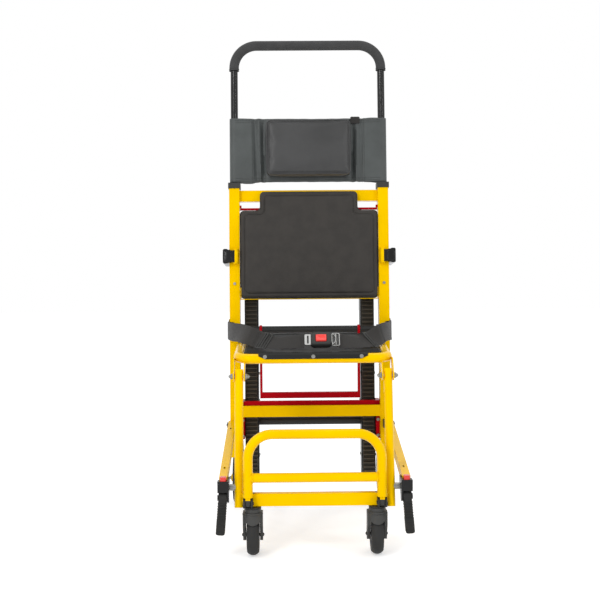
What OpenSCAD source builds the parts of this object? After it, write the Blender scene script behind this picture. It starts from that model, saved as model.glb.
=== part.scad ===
// Stair climbing chair: a folding transport chair whose back frame carries a pair of
// rubber tracks. Millimetres, +Z up, +Y towards the back, origin on the floor at the
// middle of the footprint.

/* [Back frame] */
// Lean of the back frame from the vertical, in degrees
back_lean = 5.5; // [3:0.5:9]
// Distance of each upright's centre from the middle
upright_x = 216; // [205:1:240]
// Width of an upright's section
upright_w = 30; // [28:1:34]
// Depth of an upright's section
upright_d = 40; // [34:1:46]
// Wall of the uprights and crossbars
section_wall = 2; // [1.6:0.1:3]
// Lower end of the uprights, along their own line
upright_low = 158; // [150:1:170]
// Upper end of the uprights, along their own line
upright_high = 935; // [920:1:960]
// Height of the two crossbars
crossbar_h = 32; // [26:1:38]
// Place of the upper crossbar along the uprights
upper_bar_at = 914; // [895:1:915]
// Place of the lower crossbar along the uprights
lower_bar_at = 289; // [284:1:294]

/* [Push handle] */
// Diameter of the telescopic tubes
handle_tube_d = 21; // [18:0.5:23]
// Diameter of the foam grip
grip_d = 28; // [25:1:31]
// Top of the handle along the uprights
handle_top = 1372; // [1340:1:1420]
// Bend radius of the handle's corners
handle_bend_r = 66; // [50:1:80]
// Lower end of the foam grip along the uprights
grip_low = 1284; // [1240:1:1296]
// Height of the plastic collars on the uprights
collar_h = 16; // [12:1:22]

/* [Back rest and head rest] */
// Half width of the pad's wide lower part
pad_half_w = 200.5; // [180:0.5:200.5]
// Half width of the pad's narrow upper part
pad_neck_half_w = 142; // [120:1:160]
// Lower edge of the pad along the uprights
pad_low = 614; // [600:1:625]
// Shoulders of the pad
pad_shoulder = 870; // [850:1:872]
// Upper edge of the pad
pad_high = 925; // [914:1:926]
// Thickness of the padding
pad_t = 22; // [16:1:28]
// Upper edge of the fabric sling
sling_high = 1141; // [1120:1:1160]
// Width of the head cushion
head_w = 243; // [200:1:260]
// Height of the head cushion
head_h = 164; // [140:1:170]
// Thickness of the head cushion
head_t = 50; // [36:1:60]

/* [Seat] */
// Height of the seat's rear pivot
seat_pivot_z = 521; // [515:1:527]
// Diameter of the seat tube
seat_tube_d = 25; // [22:1:28]
// Half of the seat frame's outer width
seat_half_w = 202; // [200:0.5:206]
// Height of the seat tube's centre at the front
seat_front_z = 481; // [478:1:484]
// Bend radius of the seat tube's corners
seat_bend_r = 36; // [30:1:44]
// Thickness of the seat panel
seat_panel_t = 6; // [4:0.5:8]

/* [Front legs] */
// Lean of the front legs from the vertical, in degrees
leg_lean = 12.5; // [11:0.5:14]
// Diameter of the leg tubes
leg_d = 22; // [20:1:24]
// Distance of each leg's centre from the middle
leg_x = 187; // [185:1:191]
// Lower end of the legs
leg_low = 124; // [120:1:130]
// Upper end of the legs
leg_high = 456; // [452:1:460]
// Height of the pivot between seat and legs
leg_pivot_z = 439; // [436:1:441]
// Height of the pivot between legs and side arms
arm_front_z = 172; // [168:1:175]
// Height of the front crossbar's section
front_bar_h = 31; // [28:1:34]

/* [Footrest] */
// Outer half width of the footrest loop
foot_half_w = 176; // [172:1:178]
// Diameter of the footrest tube
foot_d = 24; // [20:1:25]
// Top of the footrest loop when folded up
foot_top = 318; // [300:1:330]
// Bend radius of the footrest's corners
foot_bend_r = 60; // [45:1:70]
// Height of the footrest's hinge
foot_hinge_z = 138; // [136:1:140]

/* [Side arms and carry grips] */
// Width of the side arms' section
arm_w = 20; // [18:1:20]
// Height of the side arms' section
arm_h = 25; // [22:1:26]
// Length of a carry grip below its hinge
carry_grip_l = 86; // [70:1:100]

/* [Wheels] */
// Diameter of the front caster wheels
caster_d = 100; // [90:1:102]
// Width of the front caster wheels
caster_w = 31; // [28:1:32]
// Distance from the swivel axis back to the wheel's centre
caster_trail = 17; // [14:1:18]
// Diameter of the rear wheels
rear_wheel_d = 150; // [140:1:156]
// Width of the rear wheels
rear_wheel_w = 27; // [24:1:27]
// Distance of the rear axle behind the front legs' feet
rear_axle_y = 543; // [542:1:560]

/* [Tracks] */
// Width of each track with its side plates
track_w = 40; // [36:1:40]
// Distance of each track's centre from the middle
track_x = 170.5; // [168:0.5:170.5]
// Outside radius of a track where it turns
track_r = 45; // [42:1:46]
// Centre of the lower track wheel along the track
track_below = 137; // [130:1:142]
// Centre of the upper track wheel along the track
track_above = 495; // [460:1:510]
// Number of tread ribs on each track
tread_ribs = 128; // [100:1:140]

/* [Belt] */
// Width of the webbing
webbing_w = 50; // [45:1:50]
// Thickness of the webbing
webbing_t = 2.4; // [1.5:0.1:3]

/* [Hidden] */
$fn = 48;

// Finishes
yellow = "#F8C600";
red = "#B8101C";
black = "#2E2E2C";
dark = "#464340";
steel = "#C8C8C8";

// General fits and overruns
cut = 2;
running = 0.05;
soft_gap = 0.3;
pin_r = 5;
thin_pin_r = 4;
axle_r = 6;
side_gap = 1;
nut_t = 2;
hidden_overlap = 1;

// Places along Y of the leaning frames, on the floor and at the pivots
frame_foot_y = 432;
leg_foot_y = 0;
function frame_y(z) = frame_foot_y + z * tan(back_lean);
function leg_y(z) = leg_foot_y + (z - leg_low) * tan(leg_lean);
seat_pivot_y = frame_y(seat_pivot_z);
leg_pivot_y = leg_y(leg_pivot_z);
arm_front_y = leg_y(arm_front_z);
arm_rear_y = arm_front_y + seat_pivot_y - leg_pivot_y;
arm_rear_z = arm_front_z + seat_pivot_z - leg_pivot_z;
footrest_y = -16;
footrest_lean = 4;
track_pivot_y = 525;
track_pivot_z = 248;

// The footprint's middle, between the footrest's front and the rear wheels' back
front_most = footrest_y - foot_d / 2;
rear_most = rear_axle_y + rear_wheel_d / 2;
middle_y = (front_most + rear_most) / 2;

// Widths taken from the sections
upright_in = upright_x - upright_w / 2;
upright_out = upright_x + upright_w / 2;
handle_inset = 1;
handle_x = upright_x - handle_inset;
arm_offset = 14;
arm_in = upright_in + arm_offset;
arm_out = arm_in + arm_w;
leg_in = leg_x - leg_d / 2;
leg_out = leg_x + leg_d / 2;

// Moves a piece from the frame of its design, whose Y starts at the legs' feet
module placed() {
    translate([0, -middle_y, 0]) children();
}

// The back frame's own axes: Z along the uprights from the floor, Y to the rear
module on_back() {
    placed() translate([0, frame_foot_y, 0]) rotate([-back_lean, 0, 0]) children();
}

// The legs' own axes: Z along the legs from their feet
module on_legs() {
    placed() translate([0, leg_foot_y, leg_low]) rotate([-leg_lean, 0, 0]) children();
}

// One side of the chair: -1 is the left in the photograph, 1 the right
module on_side(side) {
    mirror([side < 0 ? 1 : 0, 0, 0]) children();
}

// A box between two corners
module box(low, high) {
    translate(low) cube(high - low);
}

// A round bar along X
module bar_x(r, x0, x1, y, z) {
    translate([x0, y, z]) rotate([0, 90, 0]) cylinder(r = r, h = x1 - x0);
}

// A flat shape drawn in Y and Z, given a thickness along X
module plate_x(x0, t) {
    translate([x0, 0, 0]) rotate([90, 0, 90]) linear_extrude(t) children();
}

// A hollow rectangular section along Z, centred
module hollow_section(w, d, h, wall) {
    linear_extrude(h) difference() {
        square([w, d], center = true);
        square([w - 2 * wall, d - 2 * wall], center = true);
    }
}

// Ring for a tube's section
module tube_ring(r, wall) {
    difference() {
        circle(r);
        circle(r - wall);
    }
}

// A bent tube shaped like an arch in X and Z: two legs, two bends and a top run
module arch_tube(half_w, low, high, bend_r, r, wall) {
    for (side = [-1, 1]) {
        translate([side * half_w, 0, low]) linear_extrude(high - bend_r - low) tube_ring(r, wall);
        on_side(side) translate([half_w - bend_r, 0, high - bend_r]) rotate([90, 0, 0])
            rotate_extrude(angle = 90) translate([bend_r, 0]) tube_ring(r, wall);
    }
    translate([bend_r - half_w, 0, high]) rotate([0, 90, 0])
        linear_extrude(2 * (half_w - bend_r)) tube_ring(r, wall);
}

// Points of a rounded corner, from angle a0 turning by sweep
corner_steps = 4;
function corner(c, r, a0, sweep) =
    [for (i = [0:corner_steps]) [c[0] + r * cos(a0 + sweep * i / corner_steps),
        c[1] + r * sin(a0 + sweep * i / corner_steps)]];

// Outline of a rounded rectangle
function round_rect(half_w, half_h, r) = concat(
    corner([half_w - r, half_h - r], r, 0, 90),
    corner([r - half_w, half_h - r], r, 90, 90),
    corner([r - half_w, r - half_h], r, 180, 90),
    corner([half_w - r, r - half_h], r, 270, 90));

// Outline of the back pad, drawn in by inset d, with rounded corners
pad_corner_r = 12;
pad_edge = 1;
function pad_outline(d) = concat(
    corner([pad_neck_half_w - d - pad_corner_r, pad_high - d - pad_corner_r], pad_corner_r, 0, 90),
    corner([d + pad_corner_r - pad_neck_half_w, pad_high - d - pad_corner_r], pad_corner_r, 90, 90),
    corner([d - pad_neck_half_w - pad_corner_r, pad_shoulder - d + pad_corner_r], pad_corner_r, 0, -90),
    corner([d + pad_corner_r - pad_half_w, pad_shoulder - d - pad_corner_r], pad_corner_r, 90, 90),
    corner([d + pad_corner_r - pad_half_w, pad_low + d + pad_corner_r], pad_corner_r, 180, 90),
    corner([pad_half_w - d - pad_corner_r, pad_low + d + pad_corner_r], pad_corner_r, 270, 90),
    corner([pad_half_w - d - pad_corner_r, pad_shoulder - d - pad_corner_r], pad_corner_r, 0, 90),
    corner([pad_neck_half_w - d + pad_corner_r, pad_shoulder - d + pad_corner_r], pad_corner_r, 270, -90));

// A closed solid through rings of equal length, with its ends filled by fans
module ring_loft(rings) {
    n = len(rings[0]);
    m = len(rings);
    ends = [for (k = [0, m - 1]) [for (a = [0:2]) sum_of([for (p = rings[k]) p[a]]) / n]];
    points = concat([for (ring = rings) for (p = ring) p], ends);
    sides = [for (k = [0:m - 2]) for (i = [0:n - 1]) for (half = [0, 1])
        let (j = (i + 1) % n, a = k * n + i, b = k * n + j, c = a + n, d = b + n)
        half == 0 ? [a, b, d] : [a, d, c]];
    start = [for (i = [0:n - 1]) [m * n, (i + 1) % n, i]];
    finish = [for (i = [0:n - 1]) [m * n + 1, (m - 1) * n + i, (m - 1) * n + (i + 1) % n]];
    polyhedron(points = points, faces = concat(sides, start, finish), convexity = 6);
}

function sum_of(list, i = 0) = i >= len(list) ? 0 : list[i] + sum_of(list, i + 1);

// Uprights

module upright(side) {
    on_back() translate([side * upright_x, 0, upright_low])
        hollow_section(upright_w, upright_d, upright_high - upright_low, section_wall);
}

module upright_left() {
    color(yellow) upright(-1);
}

module upright_right() {
    color(yellow) upright(1);
}

// Crossbars between the uprights

bar_depth = 20;
panel_t = 8;
panel_y = -14;
upper_bar_y = panel_y + panel_t + soft_gap + bar_depth / 2;
lower_bar_y = -10;

module crossbar(at, y) {
    on_back() translate([-upright_in, y, at]) rotate([0, 90, 0])
        hollow_section(crossbar_h, bar_depth, 2 * upright_in, section_wall);
}

module upper_crossbar() {
    color(yellow) crossbar(upper_bar_at, upper_bar_y);
}

module lower_crossbar() {
    color(yellow) crossbar(lower_bar_at, lower_bar_y);
}

// Plastic collars at the mouths of the uprights, which guide the handle tubes

collar_lip = 2.5;
collar_low = upright_high;

module upright_collars() {
    color(black) on_back() for (side = [-1, 1]) translate([side * upright_x, 0, collar_low])
        difference() {
            linear_extrude(collar_h)
                square([upright_w + 2 * collar_lip, upright_d + 2 * collar_lip], center = true);
            translate([side * (handle_x - upright_x), 0, -cut])
                cylinder(r = handle_tube_d / 2 + running, h = collar_h + 2 * cut);
        }
}

// Plates at the foot of the uprights that carry the rear axles

bracket_t = 6;
bracket_x = upright_in - bracket_t;
axle_eye_r = 16;
axle_cap_r = 11;
axle_cap_t = 4;
bracket_high = 200;
wheel_gap = 1.5;
rear_wheel_in = upright_in + wheel_gap;
rear_wheel_out = rear_wheel_in + rear_wheel_w;
rear_axle_z = rear_wheel_d / 2;

module rear_axle_brackets() {
    color(yellow) placed() for (side = [-1, 1]) on_side(side) {
        plate_x(bracket_x, bracket_t) union() {
            translate([rear_axle_y, rear_axle_z]) circle(axle_eye_r);
            polygon([
                [frame_y(upright_low) - upright_d / 2, upright_low],
                [frame_y(bracket_high) - upright_d / 2, bracket_high],
                [frame_y(bracket_high) + upright_d / 2, bracket_high],
                [rear_axle_y + axle_eye_r * sin(45), rear_axle_z + axle_eye_r * cos(45)],
                [rear_axle_y - axle_eye_r * sin(45), rear_axle_z - axle_eye_r * cos(45)]]);
        }
        bar_x(axle_r, upright_in, rear_wheel_out + wheel_gap, rear_axle_y, rear_axle_z);
        bar_x(axle_cap_r, rear_wheel_out + wheel_gap, rear_wheel_out + wheel_gap + axle_cap_t,
            rear_axle_y, rear_axle_z);
    }
}

// Ears on the uprights that carry the rear ends of the side arms

ear_t = 6;
ear_x = arm_in - side_gap - ear_t;
ear_r = 12;
pin_head_t = 3;
pin_head_r = 8;

module arm_hinge_brackets() {
    color(black) placed() for (side = [-1, 1]) on_side(side) {
        difference() {
            plate_x(ear_x, ear_t) union() {
                translate([arm_rear_y, arm_rear_z]) circle(ear_r);
                polygon([
                    [arm_rear_y, arm_rear_z - ear_r],
                    [frame_y(arm_rear_z - ear_r), arm_rear_z - ear_r],
                    [frame_y(arm_rear_z + ear_r), arm_rear_z + ear_r],
                    [arm_rear_y, arm_rear_z + ear_r]]);
            }
            translate([0, frame_foot_y, 0]) rotate([-back_lean, 0, 0])
                box([0, -upright_d / 2, 0], [upright_out + cut, upright_d, upright_high]);
        }
        bar_x(pin_r, ear_x + ear_t, arm_out + side_gap, arm_rear_y, arm_rear_z);
        bar_x(pin_head_r, arm_out + side_gap, arm_out + side_gap + pin_head_t, arm_rear_y, arm_rear_z);
    }
}

// The black bar between the uprights that the seat turns on

sleeve_r = 10;
lug_t = 6;
lug_x = upright_in - side_gap - lug_t;

module seat_pivot_bar() {
    color(black) placed() {
        bar_x(axle_r, -upright_in, upright_in, seat_pivot_y, seat_pivot_z);
        bar_x(sleeve_r, side_gap - lug_x, lug_x - side_gap, seat_pivot_y, seat_pivot_z);
    }
}

// The red frame behind the lower crossbar that carries the tracks' pivot

carrier_t = 10;
carrier_low = 205;
carrier_top = 316;
carrier_bar_h = 16;
carrier_front = 463;
carrier_bar_t = 10;
carrier_eye_r = 16;

module track_carrier() {
    color(red) placed() {
        for (side = [-1, 1]) on_side(side) plate_x(upright_in - carrier_t, carrier_t)
            difference() {
                union() {
                    polygon([
                        [carrier_front, carrier_low],
                        [track_pivot_y - carrier_eye_r, carrier_low],
                        [track_pivot_y + carrier_eye_r, track_pivot_z - carrier_eye_r / 2],
                        [track_pivot_y + carrier_eye_r, track_pivot_z + carrier_eye_r / 2],
                        [track_pivot_y - carrier_eye_r, carrier_top],
                        [carrier_front, carrier_top]]);
                    translate([track_pivot_y, track_pivot_z]) circle(carrier_eye_r);
                }
                translate([track_pivot_y, track_pivot_z]) circle(axle_r + running);
            }
        box([carrier_t - upright_in, carrier_front, carrier_top - carrier_bar_h],
            [upright_in - carrier_t, carrier_front + carrier_bar_t, carrier_top]);
    }
}

module track_pivot_shaft() {
    color(steel) placed() bar_x(axle_r, -upright_in, upright_in, track_pivot_y, track_pivot_z);
}

// The rigid board behind the pad, and the pad itself

pad_y = panel_y;
pad_raise = 3.5;
pad_inset = 11;
pad_draw_in = 5;

module back_panel() {
    color(black) on_back() translate([0, panel_y + panel_t, 0]) rotate([90, 0, 0])
        linear_extrude(panel_t) polygon(pad_outline(0));
}

function on_pad(outline, depth) = [for (p = outline) [p[0], pad_y - depth, p[1]]];

module back_pad() {
    color(dark) on_back() ring_loft([
        on_pad(pad_outline(pad_edge), 0),
        on_pad(pad_outline(0), pad_draw_in),
        on_pad(pad_outline(0), pad_t - pad_raise - pad_draw_in),
        on_pad(pad_outline(pad_draw_in / 2), pad_t - pad_raise - pad_edge),
        on_pad(pad_outline(pad_draw_in), pad_t - pad_raise),
        on_pad(pad_outline(pad_inset), pad_t - pad_raise),
        on_pad(pad_outline(pad_inset + pad_edge), pad_t - pad_edge),
        on_pad(pad_outline(pad_inset + pad_draw_in), pad_t)]);
}

// Screws beside the pad, and the bolts on the front edge of the track carrier

screw_r = 4;
screw_head_t = 3;
pad_screw_up_share = 0.14;
carrier_bolt_high = 260;
carrier_bolt_low = 214;
bolt_r = 4.5;

module frame_screws() {
    color(steel) {
        on_back() for (side = [-1, 1])
            translate([side * upright_x, -upright_d / 2, pad_low + pad_screw_up_share * (pad_high - pad_low)])
                rotate([90, 0, 0]) cylinder(r = screw_r, h = screw_head_t);
        placed() for (side = [-1, 1]) for (z = [carrier_bolt_low, carrier_bolt_high])
            translate([side * (upright_in - carrier_t / 2), carrier_front, z])
                rotate([90, 0, 0]) cylinder(r = bolt_r, h = screw_head_t);
    }
}

// The fabric sling round the handle tubes, with the folds beside the cushion

fabric_t = 2.6;
sling_low = collar_low + collar_h + side_gap;
sleeve_in_r = handle_tube_d / 2 + soft_gap;
sleeve_out_r = sleeve_in_r + fabric_t;
fold_depth = 3;
fold_half_w = 24;
fold_steps = 72;
fold_beside = 6;
fold_x = head_w / 2 + fold_beside;
function fold_wave(x) =
    abs(abs(x) - fold_x) < fold_half_w ? fold_depth * (1 + cos(180 * (abs(x) - fold_x) / fold_half_w)) / 2 : 0;
function sling_face(front) = [for (i = [0:fold_steps])
    let (x = handle_x * (2 * i / fold_steps - 1))
    [x, -sleeve_out_r + (front ? 0 : fabric_t) + fold_wave(x)]];
function reversed(list) = [for (i = [len(list) - 1:-1:0]) list[i]];

module head_sling() {
    color(dark) on_back() translate([0, 0, sling_low]) linear_extrude(sling_high - sling_low)
        difference() {
            union() {
                polygon(concat(sling_face(true), reversed(sling_face(false))));
                for (side = [-1, 1]) translate([side * handle_x, 0]) circle(sleeve_out_r);
            }
            for (side = [-1, 1]) translate([side * handle_x, 0]) circle(sleeve_in_r);
        }
}

// The head cushion on the front of the sling

head_gap_up = 11;
head_mid = sling_high - head_gap_up - head_h / 2;
head_back_y = -sleeve_out_r - soft_gap;
head_corner_r = 14;
head_edge_shares = [[0, 0.9], [0.18, 0.98], [0.42, 1], [0.66, 0.975], [0.84, 0.9], [0.95, 0.76], [1, 0.5]];
function head_ring(depth_share, width_share) = [for (p = round_rect(
        head_w / 2 - (1 - width_share) * head_t, head_h / 2 - (1 - width_share) * head_t, head_corner_r))
    [p[0], head_back_y - depth_share * head_t, head_mid + p[1]]];

module head_cushion() {
    color(dark) on_back() ring_loft([for (s = head_edge_shares) head_ring(s[0], s[1])]);
}

// Folding lift handles at the middle of the back, on brackets in front of the uprights

lift_at = 736;
lift_h = 34;
lift_pin_ahead = 11;
lift_pin_y = -upright_d / 2 - lift_pin_ahead;
lift_pin_inset = 4;
lift_pin_x = upright_x - lift_pin_inset;
lift_bracket_t = 4;
lift_clear = 3;
lift_t = 15;
lift_l = 116;
lift_eye_r = 7;

module lift_handle_brackets() {
    color(yellow) on_back() for (side = [-1, 1]) on_side(side) {
        for (z = [lift_at - lift_h / 2 - side_gap / 2 - lift_bracket_t, lift_at + lift_h / 2 + side_gap / 2])
            difference() {
            union() {
                translate([lift_pin_x, lift_pin_y, z]) cylinder(r = lift_eye_r, h = lift_bracket_t);
                translate([lift_pin_x - lift_eye_r, lift_pin_y, z])
                    cube([2 * lift_eye_r, lift_pin_ahead, lift_bracket_t]);
            }
            translate([lift_pin_x, lift_pin_y, lift_at - lift_h])
                cylinder(r = thin_pin_r + running, h = 2 * lift_h);
        }
    }
}

module lift_handle(side) {
    color(black) on_back() on_side(side) {
        translate([lift_pin_x, lift_pin_y, lift_at - lift_h / 2 - lift_bracket_t])
            cylinder(r = thin_pin_r, h = lift_h + 2 * lift_bracket_t);
        translate([lift_pin_x, lift_pin_y, lift_at - lift_h / 2]) cylinder(r = lift_eye_r, h = lift_h);
        box([lift_pin_x, lift_pin_y - lift_eye_r, lift_at - lift_h / 2],
            [upright_out + lift_clear, lift_pin_y + lift_eye_r, lift_at + lift_h / 2]);
        translate([upright_out + lift_clear, lift_pin_y - lift_eye_r, lift_at])
            rotate([-90, 0, 0]) linear_extrude(lift_l) translate([lift_t / 2, 0])
                polygon(round_rect(lift_t / 2, lift_h * 0.62, lift_t * 0.3));
    }
}

module lift_handle_left() {
    lift_handle(-1);
}

module lift_handle_right() {
    lift_handle(1);
}

// Battery case on the back of the panel, hidden from the front

battery_w = 220;
battery_h = 81;
battery_gap = 6.2;
gear_top = 18;
battery_low = (track_pivot_y - frame_foot_y) * sin(back_lean) + track_pivot_z * cos(back_lean)
    + track_above + gear_top + battery_gap;
battery_high = battery_low + battery_h;
battery_t = 60;
battery_corner_r = 8;

module battery_box() {
    color(black) on_back() translate([0, panel_y + panel_t, (battery_low + battery_high) / 2])
        rotate([-90, 0, 0]) linear_extrude(battery_t)
            polygon(round_rect(battery_w / 2, (battery_high - battery_low) / 2, battery_corner_r));
}

// Red release bail behind the pad's shoulders

bail_r = 3.5;
bail_at = 876;
bail_pivot_at = 884;
bail_y = 2;
bail_gap = 1;
bail_arm_t = 4;
bail_x = upright_in - bail_gap;

module release_bail() {
    color(red) on_back() {
        translate([-bail_x, bail_y, bail_at]) rotate([0, 90, 0]) cylinder(r = bail_r, h = 2 * bail_x);
        for (side = [-1, 1]) on_side(side) {
            translate([bail_x - bail_arm_t, bail_y - bail_r, bail_at])
                cube([bail_arm_t, 2 * bail_r, bail_pivot_at - bail_at]);
            translate([bail_x - bail_arm_t, bail_y, bail_pivot_at]) rotate([0, 90, 0])
                cylinder(r = bail_r, h = bail_arm_t + bail_gap);
        }
    }
}

// Push handle: two telescopic tubes joined by the bent top, and the foam grip over it

handle_low = 600;
handle_wall = 1.5;
handle_centre_top = handle_top - grip_d / 2;
foam_in_r = handle_tube_d / 2;

module handle_tube() {
    color(black) on_back()
        arch_tube(handle_x, handle_low, handle_centre_top, handle_bend_r, handle_tube_d / 2, handle_wall);
}

module handle_grip() {
    color(dark) on_back()
        arch_tube(handle_x, grip_low, handle_centre_top, handle_bend_r, grip_d / 2, grip_d / 2 - foam_in_r);
}

// Seat frame: a tube bent round the front with a flat lug at the rear of each side

seat_wall = 2;
seat_tube_x = seat_half_w - seat_tube_d / 2;
seat_front_behind = 18;
seat_front_y = leg_pivot_y + seat_front_behind;
seat_slope = 3.4;
seat_rear_gap = 35;
seat_rail_l = (seat_pivot_y - seat_rear_gap - seat_front_y) / cos(seat_slope);
seat_lug_overlap = 30;

// The seat's own axes: Y to the rear along the rails, Z square to the seat
module on_seat() {
    placed() translate([0, seat_front_y, seat_front_z]) rotate([seat_slope, 0, 0]) children();
}

module seat_tube() {
    color(yellow) on_seat() rotate([90, 0, 0]) translate([0, 0, -seat_rail_l])
        arch_tube(seat_tube_x, 0, seat_rail_l, seat_bend_r, seat_tube_d / 2, seat_wall);
}

lug_r = 14;
seat_rear_y = seat_front_y + seat_rail_l * cos(seat_slope);
seat_rear_z = seat_front_z + seat_rail_l * sin(seat_slope);

module seat_lugs() {
    color(black) placed() for (side = [-1, 1]) on_side(side) difference() {
        plate_x(lug_x, lug_t) difference() {
            union() {
                translate([seat_pivot_y, seat_pivot_z]) circle(lug_r);
                polygon([
                    [seat_rear_y, seat_rear_z - seat_tube_d / 2],
                    [seat_pivot_y + lug_r / 2, seat_pivot_z - lug_r * cos(30)],
                    [seat_pivot_y - lug_r / 2, seat_pivot_z + lug_r * cos(30)],
                    [seat_rear_y - seat_lug_overlap, seat_rear_z + seat_tube_d / 2 + lug_t],
                    [seat_rear_y - seat_lug_overlap, seat_rear_z - seat_tube_d / 2]]);
            }
            translate([seat_pivot_y, seat_pivot_z]) circle(axle_r + running);
        }
        translate([0, seat_front_y, seat_front_z]) rotate([seat_slope, 0, 0]) rotate([-90, 0, 0])
            translate([seat_tube_x, 0, 0]) cylinder(r = seat_tube_d / 2, h = seat_rail_l);
    }
}

// Seat panel: vinyl between the rails, wrapped over the front tube with a slanted flap

panel_half_w = seat_half_w - seat_tube_d - soft_gap;
panel_top = 10;
panel_front = 20;
panel_end = 366;
flap_t = 3;
flap_half_w = 134;
flap_slant = 12;
flap_low = -4;
wrap_r = seat_tube_d / 2 + flap_t;

module seat_panel() {
    color(dark) on_seat() {
        translate([0, 0, panel_top - seat_panel_t]) linear_extrude(seat_panel_t) polygon([
            [-panel_half_w, seat_bend_r], [-panel_half_w, panel_end],
            [panel_half_w, panel_end], [panel_half_w, seat_bend_r],
            [flap_half_w + flap_slant, panel_front], [-flap_half_w - flap_slant, panel_front]]);
        intersection() {
            translate([0, -wrap_r, 0]) rotate([-90, 0, 0]) linear_extrude(panel_front + wrap_r + flap_t) polygon([
                [-flap_half_w - flap_slant, -wrap_r], [flap_half_w + flap_slant, -wrap_r],
                [flap_half_w + flap_slant, -panel_top + seat_panel_t], [flap_half_w, -flap_low],
                [-flap_half_w, -flap_low], [-flap_half_w - flap_slant, -panel_top + seat_panel_t]]);
            plate_x(-seat_half_w, 2 * seat_half_w) difference() {
                union() {
                    circle(wrap_r);
                    translate([0, panel_top - seat_panel_t]) square([panel_front + flap_t, seat_panel_t]);
                }
                circle(seat_tube_d / 2);
                translate([0, -wrap_r]) square([2 * wrap_r, wrap_r + panel_top - seat_panel_t]);
            }
        }
    }
}

flap_screw_x = 121.5;
flap_screw_tip = 25;
flap_screw_r = 5;
flap_screw_t = 2.5;

module seat_screws() {
    color(steel) on_seat() for (x = [-flap_screw_x, 0, flap_screw_x])
        translate([x, 0, 0]) rotate([-flap_screw_tip, 0, 0]) translate([0, -wrap_r, 0]) rotate([90, 0, 0])
            cylinder(r = flap_screw_r, h = flap_screw_t);
}

// Plates under the front of the seat that take the tops of the legs

plate_t = 3;
plate_out_x = leg_out + side_gap;
plate_in_x = leg_in - side_gap - plate_t;
plate_low_r = 13;
pivot_nut_r = 7;
pivot_nut_t = 4;

module leg_plate(x) {
    difference() {
        plate_x(x, plate_t) difference() {
            union() {
                translate([leg_pivot_y, leg_pivot_z]) circle(plate_low_r);
                polygon([
                    [leg_pivot_y - plate_low_r, leg_pivot_z],
                    [leg_pivot_y + plate_low_r, leg_pivot_z],
                    [seat_front_y + 2 * seat_tube_d, seat_front_z],
                    [seat_front_y, seat_front_z]]);
            }
            translate([leg_pivot_y, leg_pivot_z]) circle(pin_r + running);
        }
        translate([0, seat_front_y, seat_front_z]) rotate([seat_slope, 0, 0]) rotate([90, 0, 0])
            translate([0, 0, -seat_rail_l]) {
                translate([seat_tube_x, 0, 0]) cylinder(r = seat_tube_d / 2, h = seat_rail_l - seat_bend_r);
                translate([seat_tube_x - seat_bend_r, 0, seat_rail_l - seat_bend_r]) rotate([90, 0, 0])
                    rotate_extrude(angle = 90) translate([seat_bend_r, 0]) circle(seat_tube_d / 2);
            }
    }
}

module leg_brackets() {
    color(yellow) placed() for (side = [-1, 1]) on_side(side) {
        leg_plate(plate_out_x);
        leg_plate(plate_in_x);
    }
}

// Belt: straps that stand on edge over the seat, from the uprights to the buckle

strap_steps = 32;
strap_step_share = 0.01;
buckle_x = 23;
buckle_half_w = 27;
belt_front_y = 165;
belt_lift = 2;
belt_tip = 45;
anchor_t = 3;
anchor_at = 521;
belt_end_x = upright_out + anchor_t + webbing_t / 2 + soft_gap;
belt_end_y = seat_pivot_y;

// Height of the seat's top at a place along the design's Y
function seat_top_z(y) = seat_front_z + (y - seat_front_y) * tan(seat_slope) + panel_top / cos(seat_slope);

// The strap's way from the buckle to the upright: shares across, shares back, and
// its lower edge above the seat in shares of the webbing's width
strap_shares = [[0, 0, 0.04], [0.38, 0, 0.04], [0.64, 0.1, 0.06], [0.8, 0.27, 0.1], [0.92, 0.55, -0.1],
    [1, 0.9, -0.32], [1, 1, -0.4]];

// A smooth curve through the places, at t from 0 to the last place
function smooth(list, t) =
    let (n = len(list) - 1, i = min(floor(t), n - 1), f = t - i,
        p0 = list[max(i - 1, 0)], p1 = list[i], p2 = list[i + 1], p3 = list[min(i + 2, n)])
    (2 * p1 + (p2 - p0) * f + (2 * p0 - 5 * p1 + 4 * p2 - p3) * f * f
        + (3 * p1 - p0 - 3 * p2 + p3) * f * f * f) / 2;
function strap_place(x0, t) =
    let (s = smooth(strap_shares, t), y = belt_front_y + s[1] * (belt_end_y - belt_front_y))
    [x0 + s[0] * (belt_end_x - x0), y, seat_top_z(y) + belt_lift + s[2] * webbing_w];
function strap_ring(x0, t) =
    let (last = len(strap_shares) - 1, from = min(t, last - strap_step_share), a = strap_place(x0, from),
        b = strap_place(x0, from + strap_step_share), p = strap_place(x0, t),
        n = norm([b[0] - a[0], b[1] - a[1]]),
        out = [(b[1] - a[1]) / n, (a[0] - b[0]) / n, 0], tip = belt_tip * max(0, 1 - t / (last - 1)),
        up = [0, 0, webbing_w * cos(tip)] - out * webbing_w * sin(tip), half = out * webbing_t / 2)
    [p - half, p + half, p + half + up, p - half + up];

module strap(x0) {
    last = len(strap_shares) - 1;
    ring_loft([for (i = [0:strap_steps]) strap_ring(x0, last * i / strap_steps)]);
}

module belt_strap_left() {
    color(dark) placed() on_side(-1) strap(buckle_half_w + tongue_l + soft_gap - buckle_x);
}

module belt_strap_right() {
    color(dark) placed() strap(buckle_x + buckle_half_w + adjuster_l + soft_gap);
}

// The buckle's own axes: X across the seat, Z up along the leaning webbing
module on_buckle() {
    placed() translate([buckle_x, belt_front_y,
        seat_top_z(belt_front_y) + belt_lift + buckle_t * sin(belt_tip) / 2])
        rotate([-belt_tip, 0, 0]) children();
}

buckle_h = 44;
buckle_t = 18;
button_w = 28;
button_h = 22;
button_up = 10;
button_in = 6;
button_out = 2;
button_fit = 0.4;

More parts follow.
